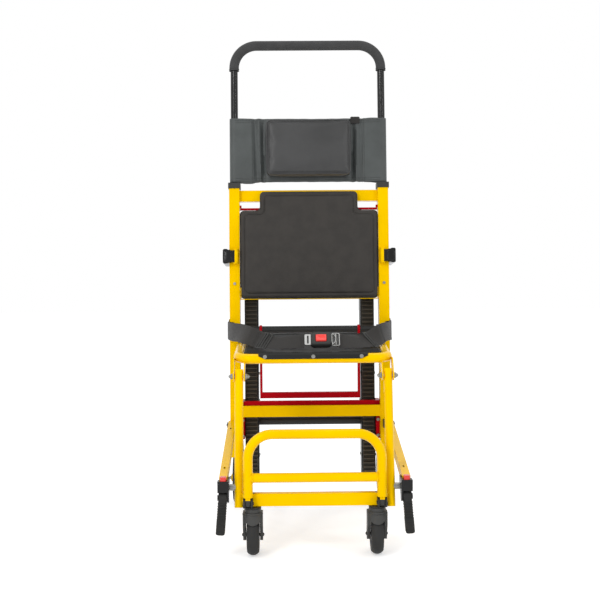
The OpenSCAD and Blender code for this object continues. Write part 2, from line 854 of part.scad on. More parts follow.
module buckle_housing() {
    color(black) on_buckle() difference() {
        rotate([90, 0, 0]) translate([0, buckle_h / 2, -buckle_t / 2]) linear_extrude(buckle_t)
            polygon(round_rect(buckle_half_w, buckle_h / 2, button_up / 2));
        translate([-button_w / 2 - button_fit, -buckle_t / 2 - cut, button_up - button_fit])
            cube([button_w + 2 * button_fit, button_in + cut, button_h + 2 * button_fit]);
    }
}

button_rest = 3;

module buckle_button() {
    color("red") on_buckle() translate([-button_w / 2, -buckle_t / 2 - button_out, button_up])
        cube([button_w, button_in + button_out - button_rest, button_h]);
}

tongue_l = 16;
adjuster_l = 20;
slot_edge = 4;
tongue_h = 34;
tongue_t = 2.5;

module latch_tongue() {
    color(steel) on_buckle() difference() {
        translate([-buckle_half_w - tongue_l, -tongue_t / 2, (buckle_h - tongue_h) / 2])
            cube([tongue_l, tongue_t, tongue_h]);
        translate([slot_edge - buckle_half_w - tongue_l, -tongue_t, (buckle_h - tongue_h) / 2 + slot_edge])
            cube([slot_edge, 2 * tongue_t, tongue_h - 2 * slot_edge]);
    }
}

module belt_adjusters() {
    color(steel) on_buckle() difference() {
        translate([buckle_half_w, -tongue_t / 2, (buckle_h - tongue_h) / 2])
            cube([adjuster_l, tongue_t, tongue_h]);
        translate([buckle_half_w + adjuster_l - 2 * slot_edge, -tongue_t, (buckle_h - tongue_h) / 2 + slot_edge])
            cube([slot_edge, 2 * tongue_t, tongue_h - 2 * slot_edge]);
    }
}

// Webbing wrapped round the uprights where the belt is anchored

module belt_anchors() {
    color(dark) on_back() for (side = [-1, 1])
        translate([side * upright_x, 0, anchor_at - webbing_w / 2]) linear_extrude(webbing_w)
            difference() {
                square([upright_w + 2 * anchor_t, upright_d + 2 * anchor_t], center = true);
                square([upright_w, upright_d], center = true);
                translate([-side * upright_w, 0]) square([upright_w, 2 * upright_d], center = true);
            }
}

// Front legs

leg_wall = 2;
function leg_at(z) = (z - leg_low) / cos(leg_lean);

module leg(side) {
    color(yellow) difference() {
        on_legs() translate([side * leg_x, 0, 0]) linear_extrude(leg_at(leg_high))
            tube_ring(leg_d / 2, leg_wall);
        placed() bar_x(pin_r, side * leg_x - leg_d, side * leg_x + leg_d, leg_pivot_y, leg_pivot_z);
        placed() bar_x(pin_r, side * leg_x - leg_d, side * leg_x + leg_d, arm_front_y, arm_front_z);
    }
}

module leg_left() {
    leg(-1);
}

module leg_right() {
    leg(1);
}

// Crossbar between the legs' feet, bored for the casters' stems

front_bar_y0 = -2;
front_bar_y1 = 16;
front_bar_z0 = 127;
front_bar_z1 = front_bar_z0 + front_bar_h;
caster_x = 153.5;
caster_y = (front_bar_y0 + front_bar_y1) / 2;

module front_crossbar() {
    color(yellow) difference() {
        placed() translate([-leg_x, (front_bar_y0 + front_bar_y1) / 2, (front_bar_z0 + front_bar_z1) / 2])
            rotate([0, 90, 0])
                hollow_section(front_bar_h, front_bar_y1 - front_bar_y0, 2 * leg_x, section_wall);
        on_legs() for (side = [-1, 1]) translate([side * leg_x, 0, -leg_d])
            cylinder(r = leg_d / 2, h = leg_at(leg_high));
        placed() for (side = [-1, 1]) translate([side * caster_x, caster_y, front_bar_z0 - cut])
            cylinder(r = axle_r + running, h = front_bar_h + 2 * cut);
        placed() for (side = [-1, 1]) on_side(side)
            box([leg_x, front_bar_y0 - cut, front_bar_z0 - cut],
                [leg_x + leg_d, front_bar_y1 + cut, front_bar_z1 + cut]);
    }
}

// Hinge forks on the crossbar for the footrest, each with its pin

foot_x = foot_half_w - foot_d / 2;
fork_half_w = 12;
fork_cheek_t = 5;
tongue_half_w = 6;
fork_low = 126;
fork_high = 150;
fork_eye_r = 12;
fork_taper = 2;

module footrest_hinges() {
    color(black) placed() for (side = [-1, 1]) on_side(side) {
        for (x = [foot_x - fork_half_w, foot_x + fork_half_w - fork_cheek_t])
            plate_x(x, fork_cheek_t) union() {
                translate([footrest_y, foot_hinge_z]) circle(fork_eye_r);
                polygon([[footrest_y, fork_low], [front_bar_y0, fork_low + fork_taper],
                    [front_bar_y0, fork_high], [footrest_y, fork_high]]);
            }
        bar_x(thin_pin_r, foot_x - fork_half_w - nut_t, foot_x + fork_half_w, footrest_y, foot_hinge_z);
    }
}

// Pins and spacers between legs, plates and side arms

cheek_t = 4.6;
cheek_x = arm_in - cheek_t - soft_gap;
spacer_r = 8;

module leg_pins() {
    color(steel) placed() for (side = [-1, 1]) on_side(side) {
        bar_x(pin_r, plate_in_x - side_gap, plate_out_x + plate_t + side_gap, leg_pivot_y, leg_pivot_z);
        bar_x(pivot_nut_r, plate_in_x - side_gap - pivot_nut_t, plate_in_x - side_gap, leg_pivot_y, leg_pivot_z);
        bar_x(pivot_nut_r, plate_out_x + plate_t + side_gap, plate_out_x + plate_t + pivot_nut_t,
            leg_pivot_y, leg_pivot_z);
        bar_x(pin_r, leg_in, cheek_x + cheek_t, arm_front_y, arm_front_z);
        difference() {
            bar_x(spacer_r, leg_x, cheek_x - side_gap, arm_front_y, arm_front_z);
            translate([0, leg_foot_y, leg_low]) rotate([-leg_lean, 0, 0]) translate([leg_x, 0, 0])
                cylinder(r = leg_d / 2, h = leg_at(leg_high));
        }
    }
}

// Footrest: a loop of tube with a cross tube, folded up in front of the legs

foot_wall = 2;
foot_low = 152;
foot_bar_z = 200;
foot_tongue_r = 8;
foot_bar_r = foot_d / 2 - soft_gap;

// The footrest's own axes, with Z along it from the hinge
module on_footrest() {
    placed() translate([0, footrest_y, foot_hinge_z]) rotate([-footrest_lean, 0, 0]) children();
}

module footrest_loop() {
    color(yellow) on_footrest() difference() {
        union() {
            arch_tube(foot_x, foot_low - foot_hinge_z, foot_top - foot_hinge_z - foot_d / 2, foot_bend_r,
                foot_d / 2, foot_wall);
            translate([foot_wall - foot_x, 0, foot_bar_z - foot_hinge_z]) rotate([0, 90, 0])
                linear_extrude(2 * (foot_x - foot_wall)) tube_ring(foot_bar_r, foot_wall);
            for (side = [-1, 1]) on_side(side) {
                bar_x(foot_tongue_r, foot_x - tongue_half_w, foot_x + tongue_half_w, 0, 0);
                box([foot_x - tongue_half_w, -foot_tongue_r, 0],
                    [foot_x + tongue_half_w, foot_tongue_r, foot_low - foot_hinge_z + hidden_overlap]);
                translate([foot_x, 0, foot_low - foot_hinge_z]) cylinder(r = foot_d / 2, h = foot_wall);
            }
        }
        bar_x(thin_pin_r + running, -foot_half_w, foot_half_w, 0, 0);
    }
}

// Side arms from the uprights forward to the front of the legs

arm_end_z = 187.5;
arm_slope = atan((arm_rear_z - arm_end_z) / arm_rear_y);
arm_l = arm_rear_y / cos(arm_slope);
slot_l = 12;
slot_w = 4;
slot_shares = [0.15, 0.85];

module arm(side) {
    color(yellow) placed() on_side(side) translate([arm_in, arm_rear_y, arm_rear_z]) rotate([arm_slope, 0, 0])
        difference() {
            union() {
                bar_x(arm_h / 2, 0, arm_w, 0, 0);
                box([0, -arm_l, -arm_h / 2], [arm_w, 0, arm_h / 2]);
            }
            box([section_wall, section_wall - arm_l, section_wall - arm_h / 2],
                [arm_w - section_wall, -arm_h / 2, arm_h / 2 - section_wall]);
            bar_x(pin_r + running, -cut, arm_w + cut, 0, 0);
            for (s = slot_shares) box([(arm_w - slot_w) / 2, -s * arm_l - slot_l / 2, 0],
                [(arm_w + slot_w) / 2, slot_l / 2 - s * arm_l, arm_h]);
        }
}

module arm_left() {
    arm(-1);
}

module arm_right() {
    arm(1);
}

// Hinge block at the front of each arm: its cheek takes the leg's pin and the grip's pin

block_front = -24;
block_low = 166.5;
block_high = 194;
grip_hinge_y = -13;
grip_hinge_z = 152;
cheek_eye_r = 12;
cheek_back = 24;
cheek_high = 196;
grip_w = 20;
grip_in = cheek_x + cheek_t + side_gap;
block_out = 3;
thumb_in_x = grip_in + side_gap;
thumb_in_y = block_front + block_out;
thumb_hole = 8;

module grip_hinge(side) {
    color(black) placed() on_side(side) {
        plate_x(cheek_x, cheek_t) difference() {
            union() {
                translate([grip_hinge_y, grip_hinge_z]) circle(cheek_eye_r);
                translate([arm_front_y, arm_front_z]) circle(cheek_eye_r);
                polygon([
                    [grip_hinge_y, grip_hinge_z - cheek_eye_r],
                    [arm_front_y + cheek_eye_r, arm_front_z],
                    [cheek_back, cheek_high - cheek_eye_r],
                    [cheek_back, cheek_high],
                    [block_front, block_high],
                    [grip_hinge_y - cheek_eye_r, grip_hinge_z]]);
            }
            translate([arm_front_y, arm_front_z]) circle(pin_r + running);
        }
        difference() {
            box([cheek_x + cheek_t, block_front, block_low], [arm_out + block_out, -block_out, block_high]);
            box([thumb_in_x - button_fit, thumb_in_y - button_fit, block_high - thumb_hole],
                [thumb_in_x + thumb_w + button_fit, thumb_in_y + thumb_w + button_fit, block_high + cut]);
        }
        bar_x(thin_pin_r, cheek_x + cheek_t, grip_in + grip_w + side_gap, grip_hinge_y, grip_hinge_z);
        bar_x(pivot_nut_r, grip_in + grip_w + side_gap, grip_in + grip_w + side_gap + nut_t,
            grip_hinge_y, grip_hinge_z);
    }
}

module grip_hinge_left() {
    grip_hinge(-1);
}

module grip_hinge_right() {
    grip_hinge(1);
}

// Red release buttons on the hinge blocks

thumb_w = 15;
thumb_h = 14;
thumb_in = 4;

module grip_button(side) {
    color("red") placed() on_side(side)
        translate([thumb_in_x + thumb_w / 2, thumb_in_y + thumb_w / 2, block_high - thumb_in])
            linear_extrude(thumb_h) polygon(round_rect(thumb_w / 2, thumb_w / 2, thumb_in));
}

module grip_button_left() {
    grip_button(-1);
}

module grip_button_right() {
    grip_button(1);
}

// Carry grips, which hang from the blocks and swing forward

grip_depth = 26;
grip_splay = 4.5;
cap_l = 34;
cap_lip = 1;

module carry_grip(side) {
    color(black) placed() on_side(side) difference() {
        union() {
            bar_x(cheek_eye_r, grip_in, grip_in + grip_w, grip_hinge_y, grip_hinge_z);
            translate([grip_in + grip_w / 2, grip_hinge_y, grip_hinge_z]) rotate([0, 180 - grip_splay, 0])
                linear_extrude(carry_grip_l) polygon(round_rect(grip_w / 2, grip_depth / 2 - cap_lip, thin_pin_r));
            translate([grip_in + grip_w / 2, grip_hinge_y, grip_hinge_z]) rotate([0, 180 - grip_splay, 0])
                translate([0, 0, carry_grip_l - cap_l]) linear_extrude(cap_l)
                    polygon(round_rect(grip_w / 2 + cap_lip, grip_depth / 2, thin_pin_r));
        }
        bar_x(thin_pin_r + running, 0, upright_out + leg_x, grip_hinge_y, grip_hinge_z);
        box([0, grip_hinge_y - grip_depth, 0], [grip_in, grip_hinge_y + grip_depth, grip_hinge_z + grip_depth]);
    }
}

module carry_grip_left() {
    carry_grip(-1);
}

module carry_grip_right() {
    carry_grip(1);
}

// Front casters: a hooded fork with its stem, and the wheel on a pin

hood_r = 24.5;
hood_low = 78;
hood_top = 112;
ring_top = 121;
ring_r = 21;
fork_clear = 2;
axle_z = caster_d / 2;
cheek_plate_t = 6;
axle_boss_r = 14;
axle_y = caster_y + caster_trail;

module caster_fork(side) {
    color(black) placed() translate([side * caster_x, 0, 0]) {
        translate([0, caster_y, ring_top]) cylinder(r = axle_r, h = front_bar_z1 - ring_top);
        translate([0, caster_y, hood_top]) cylinder(r = ring_r, h = ring_top - hood_top);
        difference() {
            union() {
                translate([0, caster_y, hood_low]) cylinder(r = hood_r, h = hood_top - hood_low);
                plate_x(-hood_r, 2 * hood_r) union() {
                    translate([axle_y, axle_z]) circle(axle_boss_r);
                    polygon([
                        [caster_y - hood_r / 2, hood_low], [axle_y - axle_boss_r, axle_z],
                        [axle_y + axle_boss_r, axle_z], [caster_y + hood_r, hood_low],
                        [caster_y + hood_r, hood_top - fork_clear], [caster_y - hood_r / 2, hood_top - fork_clear]]);
                }
            }
            bar_x(caster_d / 2 + fork_clear, -caster_w / 2 - fork_clear, caster_w / 2 + fork_clear, axle_y, axle_z);
        }
        bar_x(thin_pin_r, -hood_r - side_gap, hood_r + side_gap, axle_y, axle_z);
    }
}

module caster_fork_left() {
    caster_fork(-1);
}

module caster_fork_right() {
    caster_fork(1);
}

tread_shares = [[0.5, 0.8], [0.5, 0.86], [0.42, 0.93], [0.3, 0.975], [0.15, 0.996], [0, 1]];

// Section of a tyre's round tread, from one side to the other, as width and radius
function tread(w, r) = concat(
    [for (s = tread_shares) [r * s[1], w * s[0]]],
    [for (i = [len(tread_shares) - 2:-1:0]) [r * tread_shares[i][1], -w * tread_shares[i][0]]]);

module wheel(w, r, bore) {
    rotate([0, 90, 0]) rotate_extrude($fn = 64)
        polygon(concat([[bore, -w / 2]], [[bore, w / 2]], tread(w, r)));
}

module caster_wheel(side) {
    color(black) placed() translate([side * caster_x, axle_y, axle_z])
        wheel(caster_w, caster_d / 2, thin_pin_r + running);
}

module caster_wheel_left() {
    caster_wheel(-1);
}

module caster_wheel_right() {
    caster_wheel(1);
}

// Rear wheels under the uprights

module rear_wheel(side) {
    color(black) placed() translate([side * (rear_wheel_in + rear_wheel_out) / 2, rear_axle_y, rear_axle_z])
        wheel(rear_wheel_w, rear_wheel_d / 2, axle_r + running);
}

module rear_wheel_left() {
    rear_wheel(-1);
}

module rear_wheel_right() {
    rear_wheel(1);
}

// The red link that hangs from the seat's pivot bar

link_x = 142;
link_t = 7;
link_low = 322;
link_bar_h = 17;
link_depth = 14;
link_ring_r = 14;

module lock_link() {
    color(red) placed() {
        for (side = [-1, 1]) on_side(side) plate_x(link_x - link_t / 2, link_t) difference() {
            union() {
                translate([seat_pivot_y, seat_pivot_z]) circle(link_ring_r);
                polygon([
                    [seat_pivot_y - link_depth / 2, link_low],
                    [seat_pivot_y + link_depth / 2, link_low],
                    [seat_pivot_y + link_depth / 2, seat_pivot_z],
                    [seat_pivot_y - link_depth / 2, seat_pivot_z]]);
            }
            translate([seat_pivot_y, seat_pivot_z]) circle(sleeve_r + running);
        }
        box([link_t / 2 - link_x, seat_pivot_y - link_depth / 2, link_low],
            [link_x - link_t / 2, seat_pivot_y + link_depth / 2, link_low + link_bar_h]);
    }
}

// Track unit, which swings back about its pivot: chassis, belts, wheels and drive

track_plate_t = 3;
chassis_r = 12;
chassis_half_d = 28;
belt_body_t = 7;
rib_h = 5;
belt_in_r = track_r - rib_h - belt_body_t;

// The tracks' own axes: origin at the pivot, Z up along the tracks
module on_track() {
    placed() translate([0, track_pivot_y, track_pivot_z]) rotate([-back_lean, 0, 0]) children();
}

track_in = track_x - track_w / 2;
track_out = track_x + track_w / 2;
upper_tube_at = 268;
sprocket_shaft_r = 8;
roller_shaft_r = 6;
belt_gap = 0.5;

module track_chassis() {
    color(black) on_track() {
        for (side = [-1, 1]) on_side(side) for (x = [track_in, track_out - track_plate_t])
            plate_x(x, track_plate_t) difference() {
                union() {
                    translate([0, -track_below]) circle(chassis_half_d);
                    translate([0, track_above]) circle(chassis_half_d);
                    translate([-chassis_half_d, -track_below])
                        square([2 * chassis_half_d, track_above + track_below]);
                }
                translate([0, -track_below]) circle(roller_shaft_r + running);
                translate([0, track_above]) circle(sprocket_shaft_r + running);
                circle(axle_r + running);
            }
        difference() {
            bar_x(chassis_r, -track_in, track_in, 0, 0);
            bar_x(axle_r + running, -track_in - cut, track_in + cut, 0, 0);
        }
        bar_x(chassis_r, -track_in, track_in, 0, upper_tube_at);
    }
}

// Points of a tread's outline round the loop, with its ribs, from a place s along it
loop_l = track_above + track_below;
loop_round = PI * track_r;
function loop_length() = 2 * loop_l + 2 * loop_round;
function loop_point(s, lift) =
    let (u = s % loop_length(), r = track_r - rib_h + lift)
    u < loop_l ? [-r, u - track_below]
    : u < loop_l + loop_round ?
        [-r * cos(180 * (u - loop_l) / loop_round), track_above + r * sin(180 * (u - loop_l) / loop_round)]
    : u < 2 * loop_l + loop_round ? [r, track_above - (u - loop_l - loop_round)]
    : [r * cos(180 * (u - 2 * loop_l - loop_round) / loop_round),
        -track_below - r * sin(180 * (u - 2 * loop_l - loop_round) / loop_round)];
rib_shares = [[0, 0], [0.1, 1], [0.45, 1], [0.55, 0]];
function belt_outline() = [for (k = [0:tread_ribs - 1]) for (e = rib_shares)
    loop_point((k + e[0]) * loop_length() / tread_ribs, e[1] * rib_h)];

module track_belts() {
    color(dark) on_track() for (side = [-1, 1]) on_side(side)
        plate_x(track_in + track_plate_t + belt_gap, track_w - 2 * (track_plate_t + belt_gap)) difference() {
            polygon(belt_outline());
            union() {
                translate([0, -track_below]) circle(belt_in_r);
                translate([0, track_above]) circle(belt_in_r);
                translate([-belt_in_r, -track_below]) square([2 * belt_in_r, loop_l]);
            }
        }
}

wheel_side = 2;
track_wheel_in = track_in + track_plate_t + wheel_side;
track_wheel_w = track_w - 2 * (track_plate_t + wheel_side);
track_wheel_r = belt_in_r - side_gap;

module drive_sprockets() {
    color(steel) on_track() {
        for (side = [-1, 1]) on_side(side)
            bar_x(track_wheel_r, track_wheel_in, track_wheel_in + track_wheel_w, 0, track_above);
        bar_x(sprocket_shaft_r, -track_out, track_out, 0, track_above);
    }
}

module lower_rollers() {
    color(steel) for (side = [-1, 1]) on_track() on_side(side) {
        bar_x(track_wheel_r, track_wheel_in, track_wheel_in + track_wheel_w, 0, -track_below);
        bar_x(roller_shaft_r, track_in, track_out, 0, -track_below);
    }
}

// Gearmotor between the tracks, hidden behind the pad

drive_r = 34;
drive_l = 170;
drive_at = 400;
gear_w = 60;

module drive_unit() {
    color(black) on_track() difference() {
        union() {
            bar_x(drive_r, -drive_l / 2, drive_l / 2, 0, drive_at);
            box([-gear_w / 2, -drive_r, drive_at], [gear_w / 2, drive_r, track_above + gear_top]);
        }
        bar_x(sprocket_shaft_r + running, -drive_l, drive_l, 0, track_above);
    }
}

upright_left();
upright_right();
upper_crossbar();
lower_crossbar();
upright_collars();
rear_axle_brackets();
arm_hinge_brackets();
seat_pivot_bar();
track_carrier();
track_pivot_shaft();
back_panel();
back_pad();
frame_screws();
head_sling();
head_cushion();
lift_handle_brackets();
battery_box();
belt_anchors();
release_bail();
lift_handle_left();
lift_handle_right();
handle_tube();
handle_grip();
seat_tube();
seat_lugs();
seat_panel();
seat_screws();
leg_brackets();
belt_strap_left();
belt_strap_right();
belt_adjusters();
buckle_housing();
buckle_button();
latch_tongue();
leg_left();
leg_right();
front_crossbar();
footrest_hinges();
leg_pins();
footrest_loop();
arm_left();
arm_right();
grip_hinge_left();
grip_hinge_right();
carry_grip_left();
carry_grip_right();
grip_button_left();
grip_button_right();
caster_fork_left();
caster_fork_right();
caster_wheel_left();
caster_wheel_right();
rear_wheel_left();
rear_wheel_right();
lock_link();
track_chassis();
track_belts();
drive_sprockets();
lower_rollers();
drive_unit();
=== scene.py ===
"""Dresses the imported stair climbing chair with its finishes, soft goods and small hardware."""

import math

import bmesh
import bpy
from bpy.props import FloatProperty, PointerProperty, StringProperty
from mathutils import Matrix, Vector, noise
from mathutils.bvhtree import BVHTree


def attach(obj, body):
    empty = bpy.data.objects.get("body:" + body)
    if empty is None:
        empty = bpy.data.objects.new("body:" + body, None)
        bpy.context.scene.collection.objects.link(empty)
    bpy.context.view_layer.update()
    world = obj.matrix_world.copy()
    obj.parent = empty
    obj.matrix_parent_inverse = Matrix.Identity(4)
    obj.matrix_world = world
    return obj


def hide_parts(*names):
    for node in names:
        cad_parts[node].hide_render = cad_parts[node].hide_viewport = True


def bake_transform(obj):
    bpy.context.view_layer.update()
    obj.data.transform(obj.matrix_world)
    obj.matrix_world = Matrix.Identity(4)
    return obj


bl_info = {
    "name": "Stair Climbing Chair",
    "version": (1, 0, 0),
    "blender": (4, 5, 0),
    "location": "View3D > Sidebar > Chair",
    "description": "Finishes, soft goods and hardware of a folding stair chair",
    "category": "Object",
}

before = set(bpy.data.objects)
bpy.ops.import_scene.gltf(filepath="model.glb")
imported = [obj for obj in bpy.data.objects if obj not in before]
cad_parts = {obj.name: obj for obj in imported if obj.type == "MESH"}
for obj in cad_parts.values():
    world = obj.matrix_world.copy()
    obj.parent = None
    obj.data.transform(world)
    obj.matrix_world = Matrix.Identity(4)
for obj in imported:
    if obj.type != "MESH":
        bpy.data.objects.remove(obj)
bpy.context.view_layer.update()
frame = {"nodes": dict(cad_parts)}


def move(x, y, z):
    """A matrix that moves by x, y and z."""
    return Matrix.Translation((x, y, z))


def turn(degrees, axis):
    """A matrix that turns about an axis."""
    return Matrix.Rotation(math.radians(degrees), 4, axis)


# The CAD's own places, in metres and radians, with y 0 at the legs' feet before the footprint is centred
MIDDLE = 0.295
LEAN = math.radians(5.5)
FOOT_Y = 0.432
SEAT_SLOPE = math.radians(3.4)
SEAT_FRONT = (0.08783, 0.481)
UPRIGHT_X, UPRIGHT_W, UPRIGHT_D = 0.216, 0.030, 0.040
CASTER = (0.1535, 0.024, 0.05)
REAR_WHEEL = (0.216, 0.543, 0.075)
HANDLE_X = 0.215
LIFT_Z = 0.736
FOOTREST_X = 0.164
TRACK_PIVOT = (0.525, 0.248)
SEAT_PIVOT = (0.48217, 0.521)
ARM_PIVOT = (0.42298, 0.254)
LEG_TOP = (0.06983, 0.439)
SIDES = ((-1, "left"), (1, "right"))

PLACED = move(0, -MIDDLE, 0)
ON_BACK = PLACED @ move(0, FOOT_Y, 0) @ Matrix.Rotation(-LEAN, 4, "X")
ON_SEAT = PLACED @ move(0, *SEAT_FRONT) @ Matrix.Rotation(SEAT_SLOPE, 4, "X")
ON_TRACK = PLACED @ move(0, *TRACK_PIVOT) @ Matrix.Rotation(-LEAN, 4, "X")
ON_FOOTREST = PLACED @ move(0, -0.016, 0.138) @ turn(-4, "X")


# Small tools for meshes

def mesh_of(name, verts, faces):
    """A mesh from points and faces, with its doubles merged and its faces outwards."""
    made = bmesh.new()
    points = [made.verts.new(v) for v in verts]
    for face in faces:
        if len(set(face)) > 2:
            made.faces.new([points[i] for i in face])
    bmesh.ops.remove_doubles(made, verts=made.verts, dist=1e-6)
    bmesh.ops.recalc_face_normals(made, faces=made.faces)
    mesh = bpy.data.meshes.new(name)
    made.to_mesh(mesh)
    made.free()
    return mesh


def fit(piece, body=None, replaces=None):
    """Says which body a piece rides on and which CAD piece it replaces."""
    if body:
        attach(piece, body)
    if replaces:
        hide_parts(replaces)
    return piece


def link(name, data):
    """A new object at the origin, in the scene."""
    made = bpy.data.objects.new(name, data)
    bpy.context.scene.collection.objects.link(made)
    return made


def smoothed(mesh, angle):
    """Smooth faces, with the edges above an angle left sharp."""
    mesh.shade_smooth()
    mesh.set_sharp_from_angle(angle=math.radians(angle))


def put(name, shape, finish, body, angle=35, replaces=None):
    """A shape of points and faces, or a mesh, as a finished piece at the origin."""
    mesh = shape if isinstance(shape, bpy.types.Mesh) else mesh_of(name, *shape)
    mesh.materials.clear()
    mesh.materials.append(FINISHES[finish])
    smoothed(mesh, angle)
    return fit(link(name, mesh), body, replaces)


def loft(rings, closed=True, ends=True):
    """Points and faces through rings of equal length."""
    n = len(rings[0])
    verts = [p for ring in rings for p in ring]
    faces = []
    for k in range(len(rings) - 1):
        for i in range(n if closed else n - 1):
            j = (i + 1) % n
            faces.append((k * n + i, k * n + j, (k + 1) * n + j, (k + 1) * n + i))
    if ends and closed:
        faces.append(tuple(range(n - 1, -1, -1)))
        faces.append(tuple(range((len(rings) - 1) * n, len(rings) * n)))
    return verts, faces


def join(parts):
    """Several (points, faces) pairs as one pair."""
    verts, faces = [], []
    for points, fs in parts:
        start = len(verts)
        verts.extend(points)
        faces.extend(tuple(i + start for i in f) for f in fs)
    return verts, faces


def at(matrix, outline, z=0.0):
    """A flat outline at height z, moved by a matrix."""
    return [matrix @ Vector((p[0], p[1], z)) for p in outline]


def circle(r, steps):
    """A circle's outline."""
    angles = [2 * math.pi * k / steps for k in range(steps)]
    return [(r * math.cos(a), r * math.sin(a)) for a in angles]


def turned(profile, steps, matrix=Matrix.Identity(4), ends=True):
    """A shape turned about Z from (radius, height) pairs."""
    return loft([at(matrix, circle(r, steps), h) for r, h in profile], ends=ends)


def corner_arc(cx, cy, r, a0, sweep, steps=6):
    """Points of a rounded corner."""
    angles = [math.radians(a0 + sweep * i / steps) for i in range(steps + 1)]
    return [(cx + r * math.cos(a), cy + r * math.sin(a)) for a in angles]


def round_rect(hw, hh, r, steps=6):
    """Outline of a rounded rectangle, anticlockwise."""
    corners = ((hw - r, hh - r), (r - hw, hh - r), (r - hw, r - hh), (hw - r, r - hh))
    return [p for k, (x, y) in enumerate(corners) for p in corner_arc(x, y, r, 90 * k, 90, steps)]


def layered(matrix, hw, hh, r, levels, steps=6, follow=0.0):
    """Rings of a rounded rectangle at (inset, height) levels; the corner radius follows the inset in part."""
    return [at(matrix, round_rect(hw - inset, hh - inset, max(r - inset * follow, 0.0004), steps), z)
            for inset, z in levels]


def rounded_block(size, radius, matrix, edge, steps):
    """A block with rounded corners in X and Y and softened ends, centred, size along X, Y and Z."""
    hw, hh, hz = (s / 2 for s in size)
    soft = edge * 0.3
    levels = ((edge, -hz), (soft, soft - hz), (0, edge - hz), (0, hz - edge), (soft, hz - soft), (edge, hz))
    return loft(layered(matrix, hw, hh, radius, levels, steps, 1))


def swept(path, radius, steps=8, closed=True):
    """A round cord along points, as points and faces."""
    n = len(path)
    rings = []
    normal = None
    for i, p in enumerate(path):
        a = path[(i - 1) % n] if closed or i else path[0]
        b = path[(i + 1) % n] if closed or i < n - 1 else path[-1]
        d = (b - a).normalized()
        if normal is None:
            normal = d.orthogonal().normalized()
        normal = (normal - d * normal.dot(d)).normalized()
        side = d.cross(normal)
        rings.append([p + normal * x + side * y for x, y in circle(radius, steps)])
    if closed:
        rings.append(rings[0])
    return loft(rings, ends=not closed)


def axes(origin, x, y, z):
    """A matrix with its axes along three directions, at a place."""
    return Matrix.Translation(origin) @ Matrix((x, y, z)).transposed().to_4x4()


def facing(origin, z, x):
    """A matrix whose Z points along z and whose X is near x, at a place."""
    z = Vector(z).normalized()
    x = Vector(x)
    x = (x - z * x.dot(z)).normalized()
    return axes(origin, x, z.cross(x), z)


def smooth_line(places, t):
    """A Catmull-Rom curve through places, as the CAD's own smooth()."""
    n = len(places) - 1
    i = min(int(t), n - 1)
    f = t - i
    near = (places[max(i - 1, 0)], places[i], places[i + 1], places[min(i + 2, n)])
    return [(2 * b + (c - a) * f + (2 * a - 5 * b + 4 * c - d) * f * f + (3 * b - a - 3 * c + d) * f ** 3) / 2
            for a, b, c, d in zip(*near)]


def final_mesh(piece):
    """Applies the piece's modifiers to its mesh."""
    graph = bpy.context.evaluated_depsgraph_get()
    graph.update()
    old, piece.data = piece.data, bpy.data.meshes.new_from_object(piece.evaluated_get(graph))
    piece.modifiers.clear()
    bpy.data.meshes.remove(old)


# Repeats made with Geometry Nodes

def repeat_tree():
    """Puts one shape on every point, turned by the points' own attributes."""
    name = "repeat on points"
    if name in bpy.data.node_groups:
        return bpy.data.node_groups[name]
    tree = bpy.data.node_groups.new(name, "GeometryNodeTree")
    for label, way, kind in (("Geometry", "INPUT", "Geometry"), ("Shape", "INPUT", "Object"),
                             ("Finish", "INPUT", "Material"), ("Geometry", "OUTPUT", "Geometry")):
        tree.interface.new_socket(label, in_out=way, socket_type="NodeSocket" + kind)
    start = add(tree, "NodeGroupInput")
    shape = add(tree, "GeometryNodeObjectInfo", {"Object": (start, "Shape")})
    z, x = (add(tree, "GeometryNodeInputNamedAttribute", {"Name": label}, data_type="FLOAT_VECTOR")
            for label in ("out", "along"))
    first = add(tree, "FunctionNodeAlignRotationToVector", {"Vector": (z, "Attribute")}, axis="Z")
    second = add(tree, "FunctionNodeAlignRotationToVector",
                 {"Rotation": (first, "Rotation"), "Vector": (x, "Attribute")}, axis="X", pivot_axis="Z")
    set_on = add(tree, "GeometryNodeInstanceOnPoints",
                 {"Points": (start, "Geometry"), "Instance": (shape, "Geometry"),
                  "Rotation": (second, "Rotation")})
    real = add(tree, "GeometryNodeRealizeInstances", {"Geometry": (set_on, "Instances")})
    done = add(tree, "GeometryNodeSetMaterial",
               {"Geometry": (real, "Geometry"), "Material": (start, "Finish")})
    add(tree, "NodeGroupOutput", {"Geometry": (done, "Geometry")})
    return tree


def repeated(name, shape, places, finish, body, angle=35):
    """One mesh of a small shape at many places, each (point, out, along)."""
    points = bpy.data.meshes.new(name)
    points.from_pydata([spot[0] for spot in places], [], [])
    for label, k in (("out", 1), ("along", 2)):
        values = points.attributes.new(label, "FLOAT_VECTOR", "POINT")
        for i, spot in enumerate(places):
            values.data[i].vector = spot[k]
    model = link(name + "_shape", mesh_of(name + "_shape", *shape))
    piece = link(name, points)
    tree = repeat_tree()
    modifier = piece.modifiers.new("repeat", "NODES")
    sockets = {s.name: s.identifier for s in tree.interface.items_tree if s.in_out == "INPUT"}
    modifier.node_group = tree
    modifier[sockets["Shape"]] = model
    modifier[sockets["Finish"]] = FINISHES[finish]
    final_mesh(piece)
    bpy.data.objects.remove(model)
    smoothed(piece.data, angle)
    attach(piece, body)


# Materials

def add(tree, kind, inputs=None, **settings):
    """Adds a node with its settings, values and links."""
    made = tree.nodes.new(kind)
    for key, value in settings.items():
        setattr(made, key, value)
    for key, value in (inputs or {}).items():
        if isinstance(value, tuple) and isinstance(value[0], bpy.types.Node):
            tree.links.new(value[0].outputs[value[1]], made.inputs[key])
        else:
            made.inputs[key].default_value = value
    return made


